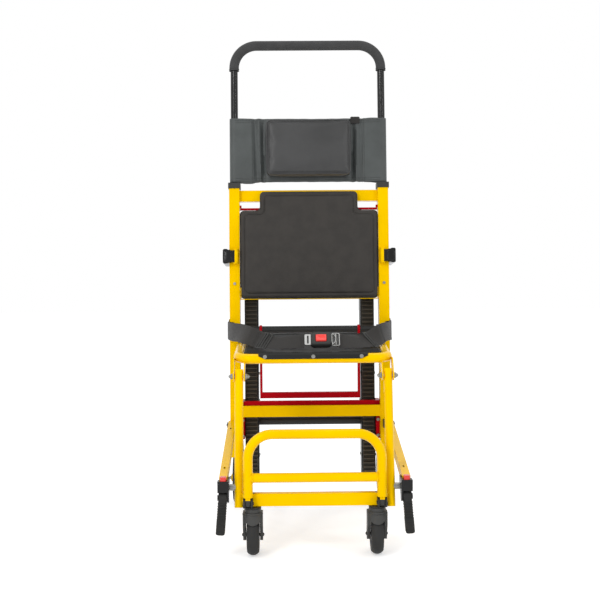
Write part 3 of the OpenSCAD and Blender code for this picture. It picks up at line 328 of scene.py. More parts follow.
def texture(tree, kind, scale, inputs=None, space="Object", **settings):
    """A procedural texture on the object's or the strap's own coordinates."""
    where = {"Vector": (tree.nodes["Texture Coordinate"], space), "Scale": scale}
    return add(tree, "ShaderNodeTex" + kind, {**where, **(inputs or {})}, **settings)


def maths(tree, operation, a, b):
    """The output of a sum of two values or outputs."""
    return add(tree, "ShaderNodeMath", {0: a, 1: b}, operation=operation), "Value"


def blended(tree, factor, a, b):
    """The output of two colours mixed by a factor."""
    return add(tree, "ShaderNodeMix", {"Factor": factor, 6: a, 7: b}, data_type="RGBA"), 2


def wire(tree, output, node, key):
    """Links an output, as (node, name), to a node's input."""
    tree.links.new(output[0].outputs[output[1]], node.inputs[key])


def shade(code, factor=1.0):
    """A linear colour from an sRGB hex value, made darker or lighter."""
    values = [int(code.lstrip("#")[i:i + 2], 16) / 255 for i in (0, 2, 4)]
    linear = [v / 12.92 if v <= 0.04045 else ((v + 0.055) / 1.055) ** 2.4 for v in values]
    return tuple(min(1, v * factor) for v in linear) + (1,)


def surface(name, roughness, specular=0.5, inputs=None):
    """A new material with its main shader and its texture coordinates."""
    material = bpy.data.materials.new(name)
    material.use_nodes = True
    tree = material.node_tree
    tree.nodes.clear()
    main = add(tree, "ShaderNodeBsdfPrincipled",
               {"Roughness": roughness, "Specular IOR Level": specular, **(inputs or {})})
    add(tree, "ShaderNodeOutputMaterial", {"Surface": (main, "BSDF")})
    add(tree, "ShaderNodeTexCoord")
    return material, tree, main


def uneven(name, code, tones, clouds, roughness, spread, detail=3.0, specular=0.5, inputs=None):
    """A surface whose colour and roughness vary slowly between two values, with its colour's output."""
    material, tree, main = surface(name, roughness, specular, inputs)
    cloud = texture(tree, "Noise", clouds, {"Detail": detail})
    ramp = add(tree, "ShaderNodeValToRGB", {"Fac": (cloud, "Fac")})
    for element, position, tone in zip(ramp.color_ramp.elements, (0.35, 0.65), tones):
        element.position, element.color = position, shade(code, tone)
    wire(tree, (ramp, "Color"), main, "Base Color")
    rough = add(tree, "ShaderNodeMapRange",
                {"Value": (cloud, "Fac"), "From Min": 0.3, "From Max": 0.7,
                 "To Min": roughness - spread[0], "To Max": roughness + spread[1]})
    wire(tree, (rough, "Result"), main, "Roughness")
    return material, tree, main, (ramp, "Color")


def bumped(tree, main, height, strength, distance, edge=0.0):
    """Small relief from a height, on edges softened by a radius."""
    relief = add(tree, "ShaderNodeBump", {"Height": height, "Strength": strength, "Distance": distance})
    if edge:
        soft = add(tree, "ShaderNodeBevel", {"Radius": edge}, samples=4)
        wire(tree, (soft, "Normal"), relief, "Normal")
    wire(tree, (relief, "Normal"), main, "Normal")


def powder_coat(name, code, roughness, shine=0.3, peel=0.12, tint=False):
    # Polyester powder coat, sprayed and baked: strong colour, soft gloss, an orange peel of about 1.5 mm
    material, tree, main, _ = uneven(name, code, (0.95, 1.03), 9.0, roughness, (0.04, 0.07), specular=shine)
    if tint:
        main.inputs["Specular Tint"].default_value = shade(code)
    if peel:
        bumped(tree, main, (texture(tree, "Noise", 650.0), "Fac"), peel, 0.0004, 0.0012)
    return material


def moulded(name, code, roughness=0.5, grain=0.0008, depth=0.25, edge=0.0012, coat=0.0, shine=0.35):
    # Injection moulded plastic: an etched grain, cells under 1 mm, slightly shiny on its high spots
    material, tree, main, _ = uneven(name, code, (0.88, 1.08), 14.0, roughness, (0.06, 0.08), specular=shine,
                                     inputs={"Coat Weight": coat, "Coat Roughness": 0.08})
    bumped(tree, main, (texture(tree, "Voronoi", 1 / grain), "Distance"), depth, 0.0003, edge)
    return material


def foam_skin(name, code, pore=0.0011, roughness=0.82):
    # Closed cell foam with its open skin: dull, full of pores of about 1 mm over a finer grain
    material, tree, main, _ = uneven(name, code, (0.86, 1.12), 30.0, roughness, (0.06, 0.08), specular=0.22,
                                     inputs={"Sheen Weight": 0.05})
    pores, fine = texture(tree, "Voronoi", 1 / pore), texture(tree, "Noise", 1800.0)
    bumped(tree, main, maths(tree, "ADD", (pores, "Distance"), (fine, "Fac")), 0.55, 0.0006)
    return material


def leathercloth(name, code, grain=0.0016, roughness=0.42, depth=0.5, crease=0.35, shine=0.3):
    # Calendered vinyl on a knitted back: pebbled grain of 1 to 2 mm, low sheen, soft creases where pulled
    material, tree, main, _ = uneven(name, code, (0.88, 1.1), 11.0, roughness, (0.06, 0.1), 4.0, shine)
    cells = texture(tree, "Voronoi", 1 / grain, feature="SMOOTH_F1")
    folds = texture(tree, "Noise", 22.0, {"Detail": 3.0, "Distortion": 0.6})
    scaled = maths(tree, "MULTIPLY", (folds, "Fac"), crease * 6)
    bumped(tree, main, maths(tree, "ADD", (cells, "Distance"), scaled), depth, 0.0004)
    return material


def waves(tree, thread, way, space, inputs=None):
    """The output of straight waves of a thread's width."""
    scale = 0.5 / thread / math.pi
    return texture(tree, "Wave", scale, inputs, space, wave_type="BANDS", bands_direction=way), "Fac"


def coated_weave(name, code, thread=0.0012):
    # Nylon cloth with a PVC coat: a fine square weave under a soft shine, drawn at 1.2 mm so that it shows
    material, tree, main, _ = uneven(name, code, (0.82, 1.12), 16.0, 0.46, (0.07, 0.08), 4.0, 0.35,
                                     {"Sheen Weight": 0.12})
    ways = [waves(tree, thread, way, "Object", {"Distortion": 0.3, "Detail": 1.0}) for way in ("X", "Z")]
    bumped(tree, main, maths(tree, "MULTIPLY", *ways), 0.45, 0.0005)
    return material


def ribbed_webbing(name, code, rib=0.0022):
    # Polyester seat belt webbing: ribs along the strap, a twill across them and a dull thread sheen; the ribs
    # carry painted shade in their valleys and a painted highlight on their crests
    material, tree, main = surface(name, 0.66, 0.2, {"Sheen Weight": 0.08})
    cloud = texture(tree, "Noise", 60.0, {"Detail": 3.0})
    across, twill = waves(tree, rib, "Y", "UV"), waves(tree, rib / 2, "DIAGONAL", "UV")
    # Painted shade and highlight: the colour darkens in the rib valleys and lightens on the crests, in step
    # with the rib bump
    ribs = blended(tree, across, shade(code, 0.72), shade(code, 1.15))
    wire(tree, blended(tree, (cloud, "Fac"), ribs, shade(code)), main, "Base Color")
    bumped(tree, main, maths(tree, "ADD", across, twill), 0.6, 0.0005)
    return material


def plated_steel(name, code, roughness):
    # Zinc or chrome plate on steel: bright, with faint turning marks and a soft haze
    material, tree, main, _ = uneven(name, code, (0.92, 1.04), 60.0, roughness, (0.05, 0.08),
                                     inputs={"Metallic": 1.0})
    bumped(tree, main, (texture(tree, "Noise", 1200.0), "Fac"), 0.08, 0.0002, 0.0005)
    return material


def vulcanised(name, code, roughness=0.68, groove=0.0):
    # Vulcanised rubber: matt, with a faint grain from its mould; recesses deeper than the groove distance get
    # painted shade, an ambient occlusion mask that mixes the colour toward a dark copy
    material, tree, main, colour = uneven(name, code, (0.82, 1.18), 26.0, roughness, (0.1, 0.1), 5.0, 0.25)
    if groove:
        # Painted shade: ambient occlusion darkens the base colour in the rubber's recesses
        occlusion_shade = add(tree, "ShaderNodeAmbientOcclusion", {"Distance": groove}, samples=6, only_local=True)
        unshaded_share = add(tree, "ShaderNodeMapRange", {"Value": (occlusion_shade, "AO"), "From Min": 0.45, "From Max": 0.9})
        wire(tree, blended(tree, (unshaded_share, "Result"), shade(code, 0.12), colour), main, "Base Color")
    bumped(tree, main, (texture(tree, "Noise", 1 / 0.0012, {"Detail": 3.0}), "Fac"), 0.3, 0.0004, 0.0006)
    return material


FINISHES = {}


def make_finishes():
    """Every finish of the chair, once."""
    c = bpy.context.scene.chair_colours
    FINISHES.update({
        "yellow": powder_coat("yellow powder coat", c.frame, 0.22, shine=0.5, peel=0.08, tint=True),
        "red": powder_coat("red powder coat", c.links, 0.32, shine=0.3, peel=0.1, tint=True),
        "black paint": powder_coat("satin black paint", c.paint, 0.42),
        "gloss tube": powder_coat("gloss black stove enamel", "#050505", 0.14, shine=0.4, peel=0.0),
        "plastic": moulded("grained black nylon", c.plastic),
        "caster plastic": moulded("dark grey caster nylon", c.caster, 0.46, 0.001, 0.3, 0.002),
        "gloss plastic": moulded("smooth black ABS", "#101010", 0.18, 0.0012, 0.0, 0.002, shine=0.25),
        "red plastic": moulded("smooth red ABS", c.button, 0.26, 0.0012, 0.06, 0.0012, 0.4),
        "foam": foam_skin("closed cell foam grip", c.foam),
        "grip rubber": foam_skin("soft moulded grip rubber", "#232322", 0.0016, 0.58),
        "pad": foam_skin("integral skin foam pad", c.pad, 0.0015, 0.6),
        "vinyl": leathercloth("black seat vinyl", c.seat, shine=0.12),
        "head vinyl": leathercloth("head cushion vinyl", c.head, 0.0014, 0.38, 0.4, 0.5),
        "sling": coated_weave("coated sling cloth", c.sling),
        "webbing": ribbed_webbing("ribbed belt webbing", c.belt),
        "thread": moulded("waxed black thread", "#242424", 0.6, 0.0006, 0.4, 0.0),
        "steel": plated_steel("zinc plated steel", "#8F8F8B", 0.34),
        "chrome": plated_steel("chromed steel", "#9A9A98", 0.16),
        "tyre": vulcanised("grey wheel tyre", "#2D2D2C"),
        "rim": moulded("grey wheel nylon", "#55565A", 0.44, 0.001, 0.2, 0.0015),
        # The track rubber gets painted shade in its recesses, reaching 9 mm
        "track": vulcanised("ribbed track rubber", c.track, 0.74, groove=0.009),
    })


# Cloth and padding

def simulate(piece, pinned, pressure=2.0, cap=0.0018, voxel=0.005):
    """Inflates a padded piece a little with the cloth solver, and keeps the result as its mesh."""
    remesh = piece.modifiers.new("remesh", "REMESH")
    remesh.mode, remesh.voxel_size = "VOXEL", voxel
    final_mesh(piece)
    rest = [v.co.copy() for v in piece.data.vertices]
    group = piece.vertex_groups.new(name="held")
    group.add([i for i, p in enumerate(rest) if pinned(p)], 1.0, "REPLACE")
    cloth = piece.modifiers.new("cloth", "CLOTH").settings
    cloth.use_pressure = True
    cloth.uniform_pressure_force = pressure
    cloth.effector_weights.gravity = 0.0
    cloth.vertex_group_mass = "held"
    cloth.tension_stiffness = cloth.compression_stiffness = 25
    cloth.bending_stiffness = 0.6
    scene = bpy.context.scene
    for step in range(1, 21):
        scene.frame_set(step)
    final_mesh(piece)
    scene.frame_set(1)
    for v, p in zip(piece.data.vertices, rest):
        d = v.co - p
        if d.length > cap:
            v.co = p + d * (cap / d.length)
    smooth = piece.modifiers.new("smooth", "SMOOTH")
    smooth.factor, smooth.iterations = 0.5, 3
    finer = piece.modifiers.new("finer", "SUBSURF")
    finer.levels = finer.render_levels = 1
    final_mesh(piece)
    piece.data.shade_smooth()


def along_path(path, pitch):
    """Even places (point, out, along) on a path of (point, out)."""
    places, left = [], 0.0
    for (a, na), (b, nb) in zip(path, path[1:]):
        length = (b - a).length
        if length < 1e-7:
            continue
        d = (b - a) / length
        s = left
        while s < length:
            places.append((a + d * s, na.lerp(nb, s / length).normalized(), d))
            s += pitch
        left = s - length
    return places


def stitches(name, paths, body, pitch=0.0042, size=(0.0028, 0.0008, 0.0006)):
    """Rows of short stitches along paths of (point, out)."""
    shape = rounded_block(size, size[1] * 0.45, Matrix.Identity(4), size[2] * 0.3, 1)
    places = [spot for path in paths for spot in along_path(path, pitch)]
    repeated(name, shape, places, "thread", body, angle=60)


PANEL_FRONT = -0.0142


def pad_outline(d):
    """The back pad's outline drawn in by d, in the back frame's X and Z, with the panel's rim left free."""
    neck, half, r = 0.1385 - d, 0.1962 - d, 0.012
    low, shoulder, high = 0.6178 + d, 0.8662 - d, 0.9215 - d
    corners = ((neck - r, high - r, 0, 90), (r - neck, high - r, 90, 90), (-neck - r, shoulder + r, 0, -90),
               (r - half, shoulder - r, 90, 90), (r - half, low + r, 180, 90), (half - r, low + r, 270, 90),
               (half - r, shoulder - r, 0, 90), (neck + r, shoulder + r, 270, -90))
    return [p for x, z, start, sweep in corners for p in corner_arc(x, z, r, start, sweep)]


def on_pad(outline, depth, crown=0.0):
    """Pad points at a depth in front of the panel, bulged at the pad's middle."""
    made = []
    for x, z in outline:
        bulge = crown * (1 - (x / 0.2) ** 2) * math.cos(math.pi * (z - 0.770) / 0.34)
        made.append(ON_BACK @ Vector((x, PANEL_FRONT - depth - bulge, z)))
    return made


class CHAIR_OT_back_pad(bpy.types.Operator):
    """Makes the moulded foam back pad with its raised face and groove"""
    bl_idname = "chair.back_pad"
    bl_label = "Back pad"

    def execute(self, context):
        raised = context.scene.chair_sizes.pad_raise
        base = 0.0218 - raised
        rim = [(0.0022, 0.0), (0.0008, 0.0012), (0.0, 0.0035), (0.0, base - 0.0045), (0.0008, base - 0.002),
               (0.0026, base - 0.0006), (0.005, base), (0.0088, base + 0.0001), (0.0096, base - 0.0009),
               (0.0104, base - 0.0009), (0.0112, base + 0.0004), (0.0122, base + raised * 0.55),
               (0.0142, base + raised * 0.86), (0.018, base + raised)]
        face = ((0.026, 0.0008), (0.04, 0.0016), (0.06, 0.0024), (0.085, 0.003), (0.1, 0.0033))
        rings = [on_pad(pad_outline(d), depth) for d, depth in rim]
        rings += [on_pad(pad_outline(d), base + raised, crown) for d, crown in face]
        pad = put("back_pad_foam", loft(rings), "pad", "back_frame", 50, "back_pad")
        bars = [((0.399, 0.0024, 0.0026), (0, -0.0132, 0.6125))]
        bars += [((0.0036, 0.0024, 0.033), (side * 0.1987, -0.0156, 0.63)) for side, _ in SIDES]
        rail = [rounded_block(size, 0.0008, ON_BACK @ move(*place), 0.0005, 2) for size, place in bars]
        put("pad_rail", join(rail), "yellow", "back_frame", 40)
        return {"FINISHED"}


HEAD_MID = 1.048
HEAD_BACK = -0.01370


def head_ring(inset, depth, crown=0.0):
    """One outline of the head cushion: sides drawn in between its corners."""
    hw, hh, pull = 0.1242, 0.082, 0.0035
    ring = []
    for x, z in round_rect(hw - inset, hh - inset, max(0.014 - inset * 0.3, 0.005), 8):
        u, v = x / hw, z / hh
        x -= math.copysign(pull * max(0, 1 - v * v) * abs(u) ** 3, u)
        z -= math.copysign(pull * max(0, 1 - u * u) * abs(v) ** 3, v)
        y = HEAD_BACK - depth - crown * max(0, 1 - u * u) * max(0, 1 - v * v)
        ring.append(ON_BACK @ Vector((x, y, HEAD_MID + z)))
    return ring


class CHAIR_OT_head_cushion(bpy.types.Operator):
    """Makes the head cushion, filled by a cloth simulation, with its piping"""
    bl_idname = "chair.head_cushion"
    bl_label = "Head cushion"

    def execute(self, context):
        profile = [(0.008, 0.0005, 0), (0.003, 0.004, 0), (0.0012, 0.012, 0), (0.001, 0.024, 0),
                   (0.0012, 0.036, 0), (0.0022, 0.0405, 0), (0.0044, 0.0434, 0), (0.0095, 0.0448, 0.0002),
                   (0.02, 0.0454, 0.0004), (0.04, 0.0458, 0.0005), (0.06, 0.046, 0.0006),
                   (0.078, 0.046, 0.0006)]
        rings = [head_ring(*level) for level in profile]
        cushion = put("head_cushion_cover", loft(rings), "head vinyl", None, 60)
        simulate(cushion, lambda p: (ON_BACK.inverted() @ p).y > HEAD_BACK - 0.003)
        cushion.data.materials.clear()
        cushion.data.materials.append(FINISHES["head vinyl"])
        tree = BVHTree.FromPolygons([v.co.copy() for v in cushion.data.vertices],
                                    [tuple(p.vertices) for p in cushion.data.polygons])
        cords, r = [], 0.0021
        for inset, depth in ((0.0028, 0.0418), (0.0045, 0.0035)):
            centre = ON_BACK @ Vector((0, HEAD_BACK - depth, HEAD_MID))
            near = [tree.find_nearest(p)[0] for p in head_ring(inset, depth)]
            cords.append(swept([p + (p - centre).normalized() * r * 0.35 for p in near], r))
        put("head_cushion_piping", join(cords), "head vinyl", "back_frame", 60)
        fit(cushion, "back_frame", "head_cushion")
        hits = [tree.find_nearest(p) for p in head_ring(0.0095, 0.0450, 0.0004)]
        row = [(hit[0] + hit[1] * 0.0002, hit[1]) for hit in hits]
        stitches("head_cushion_stitches", [row + row[:1]], "back_frame")
        return {"FINISHED"}


SLING_R = 0.0132
SLING_LOW, SLING_HIGH = 0.9525, 1.1405
SLING_SEAM = 0.163


def sling_section():
    """The sling's course across: from its left seam behind, round both tubes, to its right seam."""
    left = [(-SLING_SEAM - 0.052 * k / 5, -0.0095 + 0.0227 * (k / 5) ** 0.8) for k in range(5)]
    left += [(-HANDLE_X - SLING_R * math.sin(a), SLING_R * math.cos(a))
             for a in [math.radians(15 * k) for k in range(13)]]
    front = [(-HANDLE_X + 2 * HANDLE_X * k / 90, -SLING_R) for k in range(1, 90)]
    return left + front + [(-x, y) for x, y in reversed(left)]


def sling_shape(x, y, w, front):
    """Folds beside the cushion, a slack centre and small creases."""
    up = (w - SLING_LOW) / (SLING_HIGH - SLING_LOW)
    drop = 0.0
    if front:
        side = abs(x)
        depth = 0.0075 * math.exp(-((side - 0.1305) / 0.0055) ** 2) * (0.75 + 0.35 * math.sin(3.1 * up + 0.6))
        depth += 0.0052 * math.exp(-((side - 0.148 - 0.008 * up) / 0.0055) ** 2)
        depth -= 0.0030 * math.exp(-((side - 0.139 - 0.004 * up) / 0.004) ** 2)
        crease = noise.noise(Vector((x * 18, w * 9, 3.1))) * 0.0014
        crease += noise.noise(Vector((x * 55, w * 21, 7.7))) * 0.0005
        taut = min(1.0, max(0.0, (0.2 - side) / 0.03))
        y += (depth + crease) * taut + 0.001 * taut
        drop = 0.0022 * math.cos(x * 7) * taut
    edge = 0.0012 * noise.noise(Vector((x * 30, 0.0, 1.0)))
    return x, y, w - (drop if up > 0.5 else -drop * 0.2) + edge * (1 if up in (0.0, 1.0) else 0)


class CHAIR_OT_head_sling(bpy.types.Operator):
    """Makes the fabric sling that is wrapped round the handle tubes"""
    bl_idname = "chair.head_sling"
    bl_label = "Head sling"

    def execute(self, context):
        section = sling_section()
        rows, height = 34, SLING_HIGH - SLING_LOW
        front = [i for i, (x, y) in enumerate(section) if y <= -SLING_R + 1e-6 and abs(x) < HANDLE_X]
        rings = []
        for k in range(rows + 1):
            ring = []
            for i, (x, y) in enumerate(section):
                sx, sy, sw = sling_shape(x, y, SLING_LOW + height * k / rows, i in front)
                if x < -0.12 and k <= 3 and i in front:
                    sw -= 0.0045 * (1 - k / 4) * math.exp(-((x + 0.176) / 0.02) ** 4)
                ring.append(ON_BACK @ Vector((sx, sy, sw)))
            rings.append(ring)
        sling = put("head_sling_cloth", loft(rings, closed=False), "sling", None, 70)
        thick = sling.modifiers.new("cloth", "SOLIDIFY")
        thick.thickness, thick.offset = 0.0011, 1.0
        final_mesh(sling)
        fit(sling, "back_frame", "head_sling")
        out = (ON_BACK.to_3x3() @ Vector((0, -1, 0))).normalized()
        seams = []
        for inset in (0.006, 0.012):
            k = int(inset / height * rows)
            f = inset / height * rows - k
            for a, share in ((k, f), (rows - 1 - k, 1 - f)):
                seams.append([(rings[a][i].lerp(rings[a + 1][i], share) + out * 0.0013, out) for i in front])
        for seam in (-SLING_SEAM, -0.158, 0.158, SLING_SEAM):
            i = min(front, key=lambda j: abs(section[j][0] - seam))
            shift = Vector((seam - section[i][0], 0, 0)) + out * 0.0013
            seams.append([(ring[i] + shift, out) for ring in rings])
        stitches("head_sling_stitches", seams, "back_frame", 0.0045, (0.0030, 0.0009, 0.0006))
        tab = ON_BACK @ move(0.137, 0, 1.133) @ turn(90, "X")
        tab = layered(tab, 0.0135, 0.010, 0.003, ((0, 0.0175), (0, 0.0145)), 3)
        put("head_sling_tab", loft(tab), "webbing", "back_frame", 50)
        return {"FINISHED"}


# Seat

def seat_course():
    """The seat cover's course from its rear edge over the front tube to the flap, as (y, z, half width)."""
    top, wrap = 0.0102, 0.0158
    rear, front, half = 0.366, 0.036, 0.1767
    steps = 26
    course = [(rear + 0.0008, top - 0.005, 0.1760), (rear, top - 0.001, 0.1765), (rear - 0.002, top, half)]
    course += [(rear - (rear - front) * k / steps, top, half) for k in range(1, steps)]
    course += [(front, top, 0.1765), (0.030, top + 0.0006, 0.160), (0.024, top + 0.0014, 0.1445),
               (0.018, top + 0.0024, 0.1385)]
    for a in (100, 107, 114, 121, 128, 135, 142, 149, 156, 162, 167, 171, 175):
        y, z = wrap * math.cos(math.radians(a)), wrap * math.sin(math.radians(a))
        course.append((y, z, 0.138 - 0.0165 * min(1, max(0, (0.0098 - z) / 0.0082))))
    return course


class CHAIR_OT_seat_cover(bpy.types.Operator):
    """Makes the vinyl seat cover over its board, with its flap and stitched edges"""
    bl_idname = "chair.seat_cover"
    bl_label = "Seat cover"

    def execute(self, context):
        course = seat_course()
        cols = 40
        rings = []
        for y, z, half in course:
            ring = []
            for i in range(cols + 1):
                u = 2 * i / cols - 1
                u = math.copysign(1 - (1 - abs(u)) ** 1.15, u) if u else 0
                x = half * u
                sag = 0.0
                if y > 0.03:
                    sag = 0.0022 * (1 - u ** 4) * math.sin(math.pi * min(1, (y - 0.03) / 0.336)) ** 0.7
                    sag -= 0.0009 * noise.noise(Vector((x * 14, y * 11, 2.0)))
                if y > 0.02:
                    sag += 0.0014 * max(0, (abs(u) - 0.965) / 0.035) ** 2
                ring.append(ON_SEAT @ Vector((x, y, z - sag)))
            rings.append(ring)
        cover = put("seat_cover", loft(rings, closed=False), "vinyl", None, 50)
        top = sum((p.normal for p in cover.data.polygons), Vector())
        board = cover.modifiers.new("board", "SOLIDIFY")
        board.thickness, board.offset = 0.0046, -1.0 if top.z > 0 else 1.0
        soft = cover.modifiers.new("edge", "BEVEL")
        soft.width, soft.segments, soft.limit_method, soft.angle_limit = 0.0012, 2, "ANGLE", math.radians(50)
        final_mesh(cover)
        cover.data.set_sharp_from_angle(angle=math.radians(60))
        fit(cover, "seat", "seat_panel")
        up = (ON_SEAT.to_3x3() @ Vector((0, 0, 1))).normalized()
        flat = [k for k, place in enumerate(course) if 0.034 < place[0] < 0.363]
        front, rear = flat[-1], flat[0]
        rows = [[rings[k][i].lerp(rings[k][inner], 0.4) for k in flat]
                for i, inner in ((1, 2), (cols - 1, cols - 2))]
        rows.append([rings[rear][i].lerp(rings[rear + 1][i], 0.4) for i in range(1, cols)])
        rows.append(rings[front][2:cols - 1])
        stitches("seat_stitches", [[(p + up * 0.0003, up) for p in row] for row in rows], "seat", 0.0048,
                 (0.0032, 0.0009, 0.0006))
        return {"FINISHED"}


# Belt

WEB_W = 0.050
BELT_Y = 0.165
STRAP_SHARES = [[0, 0, 0.04], [0.38, 0, 0.04], [0.64, 0.1, 0.06], [0.8, 0.27, 0.1], [0.92, 0.55, -0.1],
                [1, 0.9, -0.32], [1, 1, -0.4]]
BELT_END_X = 0.2355
BELT_END_Y = FOOT_Y + 0.521 * math.tan(LEAN)
BELT_TIP, LAP_TIP = 45.0, 25.0
BELT_GAP = 0.002
ANCHOR_W = 0.0495


def seat_top(y):
    """Height of the seat's top at a place along the chair."""
    return SEAT_FRONT[1] + (y - SEAT_FRONT[0]) * math.tan(SEAT_SLOPE) + 0.010 / math.cos(SEAT_SLOPE)


def strap_frame(x0, side, t):
    """Lower edge, direction out and direction up of a strap at t along it."""
    def spot(v):
        s = smooth_line(STRAP_SHARES, v)
        y = BELT_Y + s[1] * (BELT_END_Y - BELT_Y)
        return Vector((x0 + s[0] * (BELT_END_X - x0), y, seat_top(y) + BELT_GAP + s[2] * WEB_W))
    last = len(STRAP_SHARES) - 1
    a = min(t, last - 0.01)
    d = spot(a + 0.01) - spot(a)
    flat = Vector((d.x, d.y, 0)).normalized()
    out = Vector((flat.y, -flat.x, 0))
    tip = math.radians(BELT_TIP * max(0, 1 - t / (last - 1)) + LAP_TIP * math.sin(math.pi * min(1, t / 2.4)))
    up = Vector((0, 0, math.cos(tip))) - out * math.sin(tip)
    p = spot(t) - Vector((0, MIDDLE, 0))
    if side < 0:
        p.x, out.x, up.x = -p.x, -out.x, -up.x
    return p, out, up


def ribbon(frames, width, thick, lift=0.0, cols=8):
    """A flat webbing solid through frames of (lower edge, out, up): points, faces and strap coordinates."""
    outline = [(j / cols, 1) for j in range(cols + 1)] + [(j / cols, -1) for j in range(cols, -1, -1)]
    rings, coords = [], []
    s = 0.0
    for k, (p, out, up) in enumerate(frames):
        if k:
            s += (p - frames[k - 1][0]).length
        rings.append([])
        for v, face in outline:
            edge = 1.0 - 0.45 * max(0, (abs(2 * v - 1) - 0.9) / 0.1) ** 2
            rings[-1].append(p + up * width * v + out * (lift + face * thick / 2 * edge))
            coords.append((s, v * width))
    return *loft(rings), coords


def web_piece(name, bands, body=None, replaces=None):
    """Webbing pieces in one mesh with strap coordinates for their weave."""
    verts, faces = join([band[:2] for band in bands])
    coords = [c for band in bands for c in band[2]]
    mesh = bpy.data.meshes.new(name)
    mesh.from_pydata(verts, [], faces)
    layer = mesh.uv_layers.new(name="UVMap")
    for loop in mesh.loops:
        layer.data[loop.index].uv = coords[loop.vertex_index]
    made = bmesh.new()
    made.from_mesh(mesh)
    bmesh.ops.recalc_face_normals(made, faces=made.faces)
    made.to_mesh(mesh)
    made.free()
    return put(name, mesh, "webbing", body, 50, replaces)


class CHAIR_OT_belt(bpy.types.Operator):
    """Makes the lap belt: both straps, their sliders, the anchors and stitching"""
    bl_idname = "chair.belt"
    bl_label = "Lap belt"

    def execute(self, context):
        last = len(STRAP_SHARES) - 1
        steps = 72
        # Each strap's side, start, the share that its doubled tail ends at, its stitches and its sliders
        straps = ((-1, "left", 0.0203, 0.34, (0.32, 0.335), (0.24, 0.29)),
                  (1, "right", 0.0703, 0.46, (0.44, 0.455), (0.3,)))
        for side, name, x0, tail_end, sewn, slid in straps:
            frames = []
            for k in range(steps + 1):
                t = last * k / steps
                p, out, up = strap_frame(x0, side, t)
                sway = math.sin(math.pi * t / last)
                up = (up + out * 0.10 * math.sin(t * 2.1 + side) * sway).normalized()
                frames.append((p + out * 0.0016 * math.sin(t * 3.3 + side) * sway, out, up))
            tail = [f for k, f in enumerate(frames) if 0.02 < k / steps < tail_end]
            strap = web_piece("belt_strap_%s_webbing" % name,
                              [ribbon(frames, WEB_W, 0.0015), ribbon(tail, WEB_W, 0.0013, 0.0018)],
                              None, "belt_strap_" + name)
            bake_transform(strap)
            rows = []
            for p, out, up in [frames[int(share * steps)] for share in sewn]:
                rows.append([(p + up * (0.004 + 0.042 * j / 12) + out * 0.0027, out) for j in range(13)])
            stitches("belt_stitches_" + name, rows, "seat", 0.0034, (0.0026, 0.0009, 0.0007))
            sliders = []
            for k in [int(share * steps) for share in slid]:
                p, out, up = frames[k]
                along = (frames[k + 1][0] - p).normalized()
                m = axes(p, along, out, up)
                bars = [m @ move(x, 0.0016, WEB_W / 2) for x in (-0.007, 0, 0.007)]
                ends = [m @ move(0, 0.0012, z) for z in (-0.0015, 0.0515)]
                sliders += [rounded_block((0.0042, 0.0062, 0.056), 0.0019, bar, 0.0012, 3) for bar in bars]
                sliders += [rounded_block((0.0182, 0.0068, 0.005), 0.0024, end, 0.0012, 3) for end in ends]
            put("belt_sliders_" + name, join(sliders), "plastic", "seat", 40)
        bands = []
        for side, _ in SIDES:
            for low in (0.0, 0.0009):
                hw, hd, r = UPRIGHT_W / 2 + 0.0011 + low, UPRIGHT_D / 2 + 0.0011 + low, 0.0035
                outline = [(0.002, -hd), *corner_arc(hw - r, -hd + r, r, 270, 90, 5),
                           *corner_arc(hw - r, hd - r, r, 0, 90, 5), (0.002, hd)]
                course = []
                for k, (x, y) in enumerate(outline):
                    a, b = outline[max(k - 1, 0)], outline[min(k + 1, len(outline) - 1)]
                    d = Vector((b[0] - a[0], b[1] - a[1], 0)).normalized()
                    tilt = 0.0015 * k if low else 0
                    course.append(on(ON_BACK, side * (UPRIGHT_X + x), y, 0.496 + tilt, (side * d.y, -d.x, 0)))
                bands.append(ribbon(course, ANCHOR_W, 0.0013))
        anchors = web_piece("belt_anchor_webbing", bands, "back_frame", "belt_anchors")
        return {"FINISHED"}


